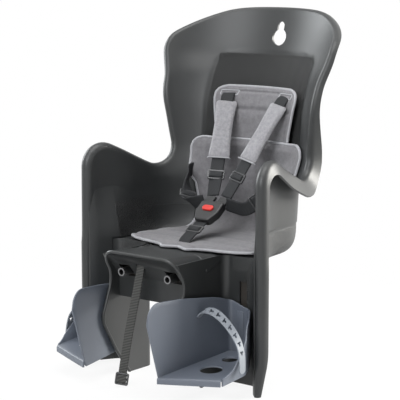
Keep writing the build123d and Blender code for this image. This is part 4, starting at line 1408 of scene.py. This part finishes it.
# %% [markdown]
# ## Felt pad
# The pad has an upper panel behind the shoulders and a lower one with two lobes that carries on over the seat.
# Both are crowned between their edges and drawn down along the sewn lines. A crowned grid is laid on
# the shell's own surface, so the pad follows the bucket, and a piped edge runs round each panel.

# %% Felt pad
PAD_GAP = 1.0
UPPER_STANDS_OFF = 4.0
PAD_EDGE = 4.0
PAD_CROWN = 5.5
OVERLAP = 9.0
SEAT_Z = PAN_Z + 3.0
BEND_TOP = 84.0
UPPER_HALF = [(190, 82), (222, 84), (282, 93), (292, 92.5), (298, 88.5), (302, 81), (304, 72)]
UPPER_FROM, UPPER_TO = 195.0, 304.0
CHANNELS_UPPER = (263.0,)
BORDER = 9.0
LOWER_HALF = [
    (60, 100), (100, 104), (122, 109), (134, 117), (148, 122), (188, 127), (198, 124), (204, 118), (207, 110),
]
LOWER_TO = 207.0
SEAT_HALF = [(80, 126), (105, 133), (128, 138), (150, 140), (214, 126), (262, 104)]
SEAT_FRONT = [(0, 94), (22, 84), (32, 81), (42, 92), (60, 99), (96, 106), (120, 114), (140, 128)]
SEAT_REAR = 246.0
CHANNELS_SEAT = (150.0, 196.0)
SEAT_SHARE, BEND_SHARE = 0.42, 0.58


def groove(distance, depth, width):
    """A soft sewn valley."""
    return depth * np.exp(-(distance / width) ** 2)


def upper_depth(x, z):
    """How deep the front of the upper panel lies at a place."""
    half = float(np.interp(z, *np.transpose(UPPER_HALF)))
    from_edge = max(0.0, min(half - abs(x), UPPER_TO - z))
    rise = PAD_EDGE + PAD_CROWN * min(1, from_edge / 12) ** 0.5
    rise -= groove(from_edge - BORDER, 3.4, 2.2)
    rise -= sum(groove(z - line, 3.2, 3.2) for line in CHANNELS_UPPER) * (from_edge > BORDER)
    return back_y(x, z) - PAD_GAP - UPPER_STANDS_OFF - max(rise, 1.0)


def upper_panel(bm):
    columns, rows = 60, 44
    place = []
    for i in range(columns + 1):
        u = i / columns * 2 - 1
        column = []
        for j in range(rows + 1):
            v = j / rows
            z = UPPER_FROM + (UPPER_TO - UPPER_FROM) * math.sin(v * math.pi / 2)
            half = float(np.interp(z, *np.transpose(UPPER_HALF)))
            column.append((u * half, upper_depth(u * half, z), z))
        place.append(column)
    mapped_grid(bm, columns, rows, place)
    return place


def seat_panel_point(u, s):
    """A point of the lower panel: s runs from the front of the seat, round the bend and up the back."""
    if s < SEAT_SHARE:
        v = s / SEAT_SHARE
        front = float(np.interp(abs(u) * 138, *np.transpose(SEAT_FRONT)))
        y = front + (SEAT_REAR - front) * v
        half = float(np.interp(y, *np.transpose(SEAT_HALF)))
        x = u * half
        from_edge = min((1 - abs(u)) * half, y - front)
        deep = sum(groove(y - line + 10 * u * u, 2.4, 4.0) for line in CHANNELS_SEAT)
        rise = PAD_EDGE + PAD_CROWN * min(1, from_edge / 16) ** 0.5 - deep
        return (x, y, SEAT_Z + rise)
    z = BEND_TOP + (LOWER_TO - BEND_TOP) * (s - BEND_SHARE) / (1 - BEND_SHARE)
    half = float(np.interp(z, *np.transpose(LOWER_HALF)))
    x = u * half
    from_edge = min((1 - abs(u)) * half, LOWER_TO - z)
    rise = PAD_EDGE + PAD_CROWN * min(1, from_edge / 14) ** 0.5
    over_upper = np.clip((104 - abs(x)) / 22, 0, 1) * np.clip((z - LOWER_TO + 34) / 22, 0, 1)
    rise += OVERLAP * over_upper
    wall_y = back_y(x, z) - PAD_GAP - rise
    if s >= BEND_SHARE:
        return (x, wall_y, z)
    v = (s - SEAT_SHARE) / (BEND_SHARE - SEAT_SHARE)
    top = seat_panel_point(u, BEND_SHARE)
    foot = seat_panel_point(u, SEAT_SHARE - 1e-6)
    corner = (top[0] * 0.5 + foot[0] * 0.5, top[1] + 2, foot[2])
    weights = ((1 - v) ** 2, 2 * v * (1 - v), v * v)
    return tuple(sum(w * point[k] for w, point in zip(weights, (foot, corner, top))) for k in range(3))


def lower_panel(bm):
    columns, rows = 72, 96
    place = []
    for i in range(columns + 1):
        u = i / columns * 2 - 1
        place.append([seat_panel_point(u, j / rows) for j in range(rows + 1)])
    mapped_grid(bm, columns, rows, place)
    return place


def border_of(place, open_bottom):
    """The border of a grid of places, from one lower corner over the top to the other."""
    left = list(place[0])
    top = [column[-1] for column in place]
    right = list(place[-1])[::-1]
    line = left + top[1:-1] + right
    if not open_bottom:
        line += [column[0] for column in place[::-1]][1:]
    return np.array(line)


PIPING_RADIUS = 2.6
for name, make, open_bottom in (("upper", upper_panel, True), ("lower", lower_panel, False)):
    bm = bmesh.new()
    place = make(bm)
    panel = walled(piece(f"pad_{name}_panel", bm, "seat", PAD, ["seat_pad"]), PAD_EDGE)
    print("pad,", name, "panel:", len(panel.data.polygons), "faces")
    bm = bmesh.new()
    tube(bm, resampled(border_of(place, open_bottom), 420), PIPING_RADIUS)
    piece(f"pad_{name}_piping", bm, "seat", PIPING, ["seat_pad"])

SLOT_BINDING = (34.0, 8.0)
BINDING_RADIUS, BINDING_PROUD = 1.2, 0.3
wide, high = (size / 2 for size in SLOT_BINDING)
corners = [(0, -high), (wide, -high), (wide, high), (-wide, high), (-wide, -high), (0, -high)]
for name, sign in (("left", 1), ("right", -1)):
    ring = []
    for across, up in corners:
        x, z = sign * SHOULDER_SLOT[0] + across, SHOULDER_SLOT[1] + up
        ring.append((x, upper_depth(x, z) - BINDING_PROUD, z))
    bm = bmesh.new()
    tube(bm, resampled(ring, 60), BINDING_RADIUS, 8)
    piece(f"{name}_slot_binding", bm, "seat", PIPING, ["seat_pad"])

# %% [markdown]
# ## Harness webbing
# Five flat straps meet at the buckle. Each is a ribbon: a grid laid along a line whose corners are rounded,
# with the width turned to face the child. The ribbon carries a map of its own, so that the ribs
# of the weave run across it however it bends.

# %% Webbing ribbons
WEB_WIDTH = 25.0
WEB_THICK = 2.0
BUCKLE_AT = np.array((0.0, 180.0, 88.0))
BUCKLE_UP = np.array((0.0, 0.796, 0.605))
TONGUE_END = 38.0
FEWEST_STEPS = 8


def rounded_route(points, reach, steps=8):
    """A line in space whose corners are eased by short curves."""
    points = [np.array(point, float) for point in points]
    line = [points[0]]
    for before, here, after in zip(points[:-2], points[1:-1], points[2:]):
        ends = []
        for other in (before, after):
            away = other - here
            length = np.linalg.norm(away)
            ends.append(here + away / length * min(reach, 0.45 * length))
        for k in range(steps + 1):
            t = k / steps
            line.append((1 - t) ** 2 * ends[0] + 2 * t * (1 - t) * here + t * t * ends[1])
    line.append(points[-1])
    return np.array(line)


def ribbon(bm, line, across, width, rows=8, spacing=4.0):
    """A flat band along a line: across is its width's direction, or several from start to end.

    On its map, u counts strap widths along it and v goes across.
    """
    chart = bm.loops.layers.uv.new("strap")
    length = float(run_along(line)[-1])
    line = resampled(line, max(FEWEST_STEPS, int(length / spacing)) + 1)
    step = np.gradient(line, axis=0)
    step /= np.linalg.norm(step, axis=1)[:, None]
    keys = np.atleast_2d(np.array(across, float))
    share = np.linspace(0, 1, len(line))
    across = np.stack([np.interp(share, np.linspace(0, 1, len(keys)), column) for column in keys.T], -1)
    side = across - step * np.sum(step * across, axis=1)[:, None]
    side /= np.linalg.norm(side, axis=1)[:, None]
    spread = [width * (j / rows - 0.5) for j in range(rows + 1)]
    place = [[point + turn * aside for aside in spread] for point, turn in zip(line, side)]
    table = mapped_grid(bm, len(line) - 1, rows, place)
    where = {vert: key for key, vert in table.items()}
    for face in bm.faces:
        for loop in face.loops:
            i, j = where[loop.vert]
            loop[chart].uv = (length * i / (len(line) - 1) / width, j / rows)


def strap_piece(name, bm, side, node, material=WEBBING, thick=WEB_THICK):
    turned_over(bm, side)
    return walled(piece(name, bm, "seat", material, [node] if node else ()), thick, 0)


def buckle_point(x, up):
    return np.array((x, 0, 0)) + BUCKLE_AT + BUCKLE_UP * up


shoulder_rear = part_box("left_shoulder_strap")[1].y / MM
waist_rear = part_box("left_waist_strap")[1].y / MM
SHOULDER_ROUTE = [
    (65, shoulder_rear, 292), (65, shoulder_rear - 30, 292), buckle_point(15, TONGUE_END + 3),
]
WAIST_ROUTE = [
    (116, waist_rear, 146), (116, waist_rear - 37, 146), (67, 202, 96), buckle_point(25.8, TONGUE_END - 12.5),
]
CROTCH_ROUTE = [(0, 110, 27), (0, 110, 46), buckle_point(0, -24.8)]
# The right straps lie turned a little more to the front than the left ones
SHOULDER_FACING = {"left": (1, 0, 0), "right": (1, -0.55, 0)}
WAIST_START, WAIST_END = (0, 0, 1), (0.1, -0.2, 1)
WAIST_FACING = {"left": (-0.45, -0.25, 0.85), "right": (0.7, -0.6, 0.35)}
for side in ("left", "right"):
    bm = bmesh.new()
    facing = SHOULDER_FACING[side]
    ribbon(bm, rounded_route(SHOULDER_ROUTE, 12), [(1, 0, 0), facing, facing, facing, (1, 0, 0)], WEB_WIDTH)
    strap_piece(f"{side}_shoulder_web", bm, side, f"{side}_shoulder_strap")
    bm = bmesh.new()
    facing = [WAIST_START, WAIST_START, WAIST_FACING[side], WAIST_END]
    ribbon(bm, rounded_route(WAIST_ROUTE, 12), facing, WEB_WIDTH)
    strap_piece(f"{side}_waist_web", bm, side, f"{side}_waist_strap")
bm = bmesh.new()
ribbon(bm, rounded_route(CROTCH_ROUTE, 10), (1, 0, 0), WEB_WIDTH)
strap_piece("crotch_web", bm, "left", "crotch_strap")
print("webbing: 5 straps")

# %% [markdown]
# ## Ladder slides
# A ladder slide is a small glossy frame with a bar across its middle. The strap comes up through one window,
# over the bar and down through the other. The frame is a coarse grid with two cells taken out,
# solidified and bevelled, and a short bulge of webbing lies over the bar.

# %% Ladder slides
SLIDE_SIZE = (19.0, 32.0)
SLIDE_THICK = 4.4
SLIDE_RIM = 3.2
SLIDE_BAR = 3.6
SLIDE_CORNER = 3.0
SLIDE_AT = {"shoulder": 0.8, "waist": 0.74, "crotch": 0.62}
TURN_PLAY, TURN_HIGH, TURN_THICK = 0.6, 1.2, 1.6


def ladder(bm, size):
    """A frame in its own plane, x along the strap."""
    length, width = size
    along = [-length / 2, SLIDE_RIM - length / 2, -SLIDE_BAR / 2]
    along += [-x for x in reversed(along)]
    across = [-width / 2, SLIDE_RIM - width / 2, width / 2 - SLIDE_RIM, width / 2]
    place = [[(x, y, SLIDE_THICK / 2) for y in across] for x in along]
    table = mapped_grid(bm, len(along) - 1, len(across) - 1, place)
    windows = [bm.faces.get([table[i, 1], table[i + 1, 1], table[i + 1, 2], table[i, 2]]) for i in (1, 3)]
    bmesh.ops.delete(bm, geom=windows, context="FACES")
    corners = [table[i, j] for i in (0, len(along) - 1) for j in (0, len(across) - 1)]
    bmesh.ops.bevel(
        bm, geom=corners, offset=SLIDE_CORNER, segments=4, profile=0.5, affect="VERTICES", material=-1)
    made = bmesh.ops.extrude_face_region(bm, geom=bm.faces[:])["geom"]
    lower = [item for item in made if isinstance(item, bmesh.types.BMVert)]
    bmesh.ops.translate(bm, vec=(0, 0, -SLIDE_THICK), verts=lower)
    bmesh.ops.recalc_face_normals(bm, faces=bm.faces)


def on_strap(start, end, across, share):
    """Matrix of a place on a straight run of strap: x along it, y across it."""
    start, end = np.array(start, float), np.array(end, float)
    step = (end - start) / np.linalg.norm(end - start)
    side = np.array(across, float)
    side = side - step * (step @ side)
    side /= np.linalg.norm(side)
    normal = np.cross(step, side)
    point = start + (end - start) * share
    return Matrix((*zip(step, side, normal, point), (0, 0, 0, 1)))


def add_slide(name, place, side, node, size=SLIDE_SIZE, material=WEBBING, outward=1):
    """A ladder slide at a place on a strap, with the strap's turn over its bar; returns the frame."""
    bm = bmesh.new()
    ladder(bm, size)
    bmesh.ops.transform(bm, matrix=place, verts=bm.verts)
    turned_over(bm, side)
    frame_piece = piece(f"{name}_ladder", bm, "seat", SLIDE, [node])
    edge_round(frame_piece, 1.0, 3)
    bm = bmesh.new()
    reach = size[0] / 2 - SLIDE_RIM - TURN_PLAY
    height = outward * (SLIDE_THICK / 2 + TURN_HIGH)
    shoulder = reach * 0.8
    corners = [(-reach, 0, -outward), (-shoulder, 0, height), (shoulder, 0, height), (reach, 0, -outward)]
    ribbon(bm, rounded_route(corners, 3.0), (0, 1, 0), size[1] - 2 * SLIDE_RIM - TURN_PLAY, spacing=1.0)
    bmesh.ops.transform(bm, matrix=place, verts=bm.verts)
    strap_piece(f"{name}_turn", bm, side, None, material, TURN_THICK)
    return frame_piece


for side in ("left", "right"):
    place = on_strap(SHOULDER_ROUTE[1], SHOULDER_ROUTE[2], SHOULDER_FACING[side], SLIDE_AT["shoulder"])
    add_slide(f"{side}_shoulder", place, side, f"{side}_shoulder_slide")
    place = on_strap(WAIST_ROUTE[1], WAIST_ROUTE[2], WAIST_FACING[side], SLIDE_AT["waist"])
    add_slide(f"{side}_waist", place, side, f"{side}_waist_slide", outward=-1 if side == "left" else 1)
place = on_strap(CROTCH_ROUTE[1], CROTCH_ROUTE[2], (1, 0, 0), SLIDE_AT["crotch"])
add_slide("crotch", place, "left", "crotch_slide", outward=-1)
print("ladder slides: 5")

# %% [markdown]
# ## Shoulder pads
# A soft felt sleeve lies round each shoulder strap. It starts as a thin block, is remeshed into even cells and
# blown up a little by Blender's cloth, which gives the uneven fullness of a sewn pad. The lower end has a pale
# binding, sewn on after that because a remesh would swallow it.

# %% Shoulder pads
CUSHION_WIDTH = 41.0
CUSHION_THICK = 6.0
CUSHION_SPAN = (0.07, 0.65)
CUSHION_CELL = 4.0
CUSHION_SWELL = 2.5
CUSHION_PRESSURE = 4.0
CUSHION_FRAMES = 20
CUSHION_SHORT = 4.0
CUSHION_EDGE = 2.0
HEM_RADIUS = 1.3


def cushion_block(length):
    bm = bmesh.new()
    bmesh.ops.create_cube(bm, size=1)
    bmesh.ops.scale(bm, vec=(length, CUSHION_WIDTH, CUSHION_THICK), verts=bm.verts)
    bmesh.ops.bevel(
        bm, geom=bm.edges[:], offset=CUSHION_EDGE, segments=2, profile=0.5, affect="EDGES", material=-1)
    return bm


def swollen(obj):
    """Remesh into even cells, inflate as cloth and keep every point near where it started."""
    cells = obj.modifiers.new("cells", "REMESH")
    cells.mode = "VOXEL"
    cells.voxel_size = CUSHION_CELL * MM
    finished_mesh(obj)
    start = np.empty(len(obj.data.vertices) * 3)
    obj.data.vertices.foreach_get("co", start)
    cloth = obj.modifiers.new("cloth", "CLOTH")
    cloth.settings.use_pressure = True
    cloth.settings.uniform_pressure_force = CUSHION_PRESSURE
    cloth.settings.effector_weights.gravity = 0
    cloth.point_cache.frame_start = 1
    cloth.point_cache.frame_end = CUSHION_FRAMES
    for number in range(1, CUSHION_FRAMES + 1):
        scene.frame_set(number)
    finished_mesh(obj)
    scene.frame_set(1)
    end = np.empty_like(start)
    obj.data.vertices.foreach_get("co", end)
    moved = (end - start).reshape(-1, 3)
    far = np.linalg.norm(moved, axis=1)
    limit = np.minimum(1, CUSHION_SWELL * MM / np.maximum(far, 1e-9))
    obj.data.vertices.foreach_set("co", start + (moved * limit[:, None]).ravel())
    obj.data.polygons.foreach_set("use_smooth", [True] * len(obj.data.polygons))
    obj.data.update()
    return obj


run = np.array(SHOULDER_ROUTE[2]) - np.array(SHOULDER_ROUTE[1])
cushion_length = float(np.linalg.norm(run)) * (CUSHION_SPAN[1] - CUSHION_SPAN[0]) - CUSHION_SHORT
for side in ("left", "right"):
    middle = on_strap(SHOULDER_ROUTE[1], SHOULDER_ROUTE[2], SHOULDER_FACING[side], sum(CUSHION_SPAN) / 2)
    cushion = piece(
        f"{side}_shoulder_cushion", cushion_block(cushion_length), "seat", SHOULDER,
        [f"{side}_shoulder_pad"])
    swollen(cushion)
    turn = middle.copy()
    turn.translation *= MM
    if side == "right":
        turn = Matrix.Diagonal((-1, 1, 1, 1)) @ turn
    cushion.data.transform(turn)
    if side == "right":
        cushion.data.flip_normals()
    softer = cushion.modifiers.new("softer", "SUBSURF")
    softer.levels = softer.render_levels = 1
    bm = bmesh.new()
    end = cushion_length / 2
    half = CUSHION_WIDTH / 2 + 0.6
    deep = CUSHION_THICK / 2 + 0.8
    hem = [(end, -half, 0), (end, -half + 2, deep), (end, half - 2, deep), (end, half, 0)]
    tube(bm, resampled(rounded_route(hem, 3), 50), HEM_RADIUS, 8)
    bmesh.ops.transform(bm, matrix=middle, verts=bm.verts)
    turned_over(bm, side)
    piece(f"{side}_shoulder_hem", bm, "seat", PIPING, [f"{side}_shoulder_pad"])
print("shoulder pads:", len(cushion.data.polygons), "faces each before smoothing")

# %% [markdown]
# ## Safety strap
# A loose strap with a slide at its end hangs out of the hood. On the bike it is passed round the frame.
# Its line is one smooth spline over a few given points, the same that the part uses. The ribbon
# follows points read back from that spline.

# %% Safety strap
SAFETY_WIDTH = 15.0
SAFETY_THICK = 2.0
SAFETY_ROUTE = [(-14, 11, 24), (-16, 4, -14), (-20, -7, -66), (-25, -18, -122), (-29, -25, -174)]
SAFETY_SLIDE = (22.0, 24.0)
SAFETY_FACING = (1, 0.6, 0)


def spline_line(points):
    """Points along a smooth curve that has the given points as its controls."""
    data = bpy.data.curves.new("route", "CURVE")
    data.dimensions = "3D"
    data.resolution_u = 16
    spline = data.splines.new("NURBS")
    spline.points.add(len(points) - 1)
    for control, point in zip(spline.points, points):
        control.co = (*point, 1)
    spline.order_u = 3
    spline.use_endpoint_u = True
    obj = bpy.data.objects.new("route", data)
    scene.collection.objects.link(obj)
    bpy.context.view_layer.update()
    mesh = bpy.data.meshes.new_from_object(obj.evaluated_get(bpy.context.evaluated_depsgraph_get()))
    line = np.array([vert.co[:] for vert in mesh.vertices])
    bpy.data.objects.remove(obj)
    return line


safety_line = spline_line(SAFETY_ROUTE)
bm = bmesh.new()
ribbon(bm, safety_line, [(1, 0, 0), SAFETY_FACING, SAFETY_FACING], SAFETY_WIDTH, spacing=2.5)
safety = strap_piece("safety_web", bm, "left", "safety_strap", SAFETY_WEB, SAFETY_THICK)
tip = np.array(SAFETY_ROUTE[-1], float)
before = np.array(SAFETY_ROUTE[-2], float)
beyond = tip + (tip - before) / np.linalg.norm(tip - before) * SAFETY_SLIDE[0]
place = on_strap(tip, beyond, SAFETY_FACING, 0.5)
end_slide = add_slide("safety", place, "left", "safety_strap_slide", SAFETY_SLIDE, SAFETY_WEB)
print("safety strap follows", len(safety_line), "points")

# %% [markdown]
# ## Pieces that are carried over
# The buckle, the releases, the mount, the sleeves and the screws are right as the part gives them, so they
# stay and only get a finish. Every node gets one, also those that a piece above stands for.

# %% Carried-over pieces
NODE_MATERIAL = {
    "mount_block": MOUNT, "mount_screws": SCREW, "bow_clamp_bolts": SCREW, "crotch_anchor": ANCHOR,
    "buckle_body": BUCKLE, "buckle_button": BUTTON, "crotch_slide": SLIDE, "crotch_strap": WEBBING,
    "safety_strap": WEBBING, "safety_strap_slide": SLIDE, "seat_pad": PAD, "seat_shell": SHELL,
}
SIDE_MATERIAL = {
    "bow_sleeve": SLEEVE, "shoulder_anchor": ANCHOR, "waist_anchor": ANCHOR, "buckle_tongue": BUCKLE,
    "footrest_slider": MOUNT, "footrest_screw": SCREW, "release_button": BUTTON, "footrest": FOOTREST,
    "foot_strap": FOOT_STRAP, "shoulder_strap": WEBBING, "waist_strap": WEBBING, "shoulder_pad": SHOULDER,
    "shoulder_slide": SLIDE, "waist_slide": SLIDE,
}
for side in ("left", "right"):
    for name, material in SIDE_MATERIAL.items():
        NODE_MATERIAL[f"{side}_{name}"] = material
for name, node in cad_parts.items():
    node.data.materials.clear()
    node.data.materials.append(NODE_MATERIAL[name])
print("nodes finished:", len(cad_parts))
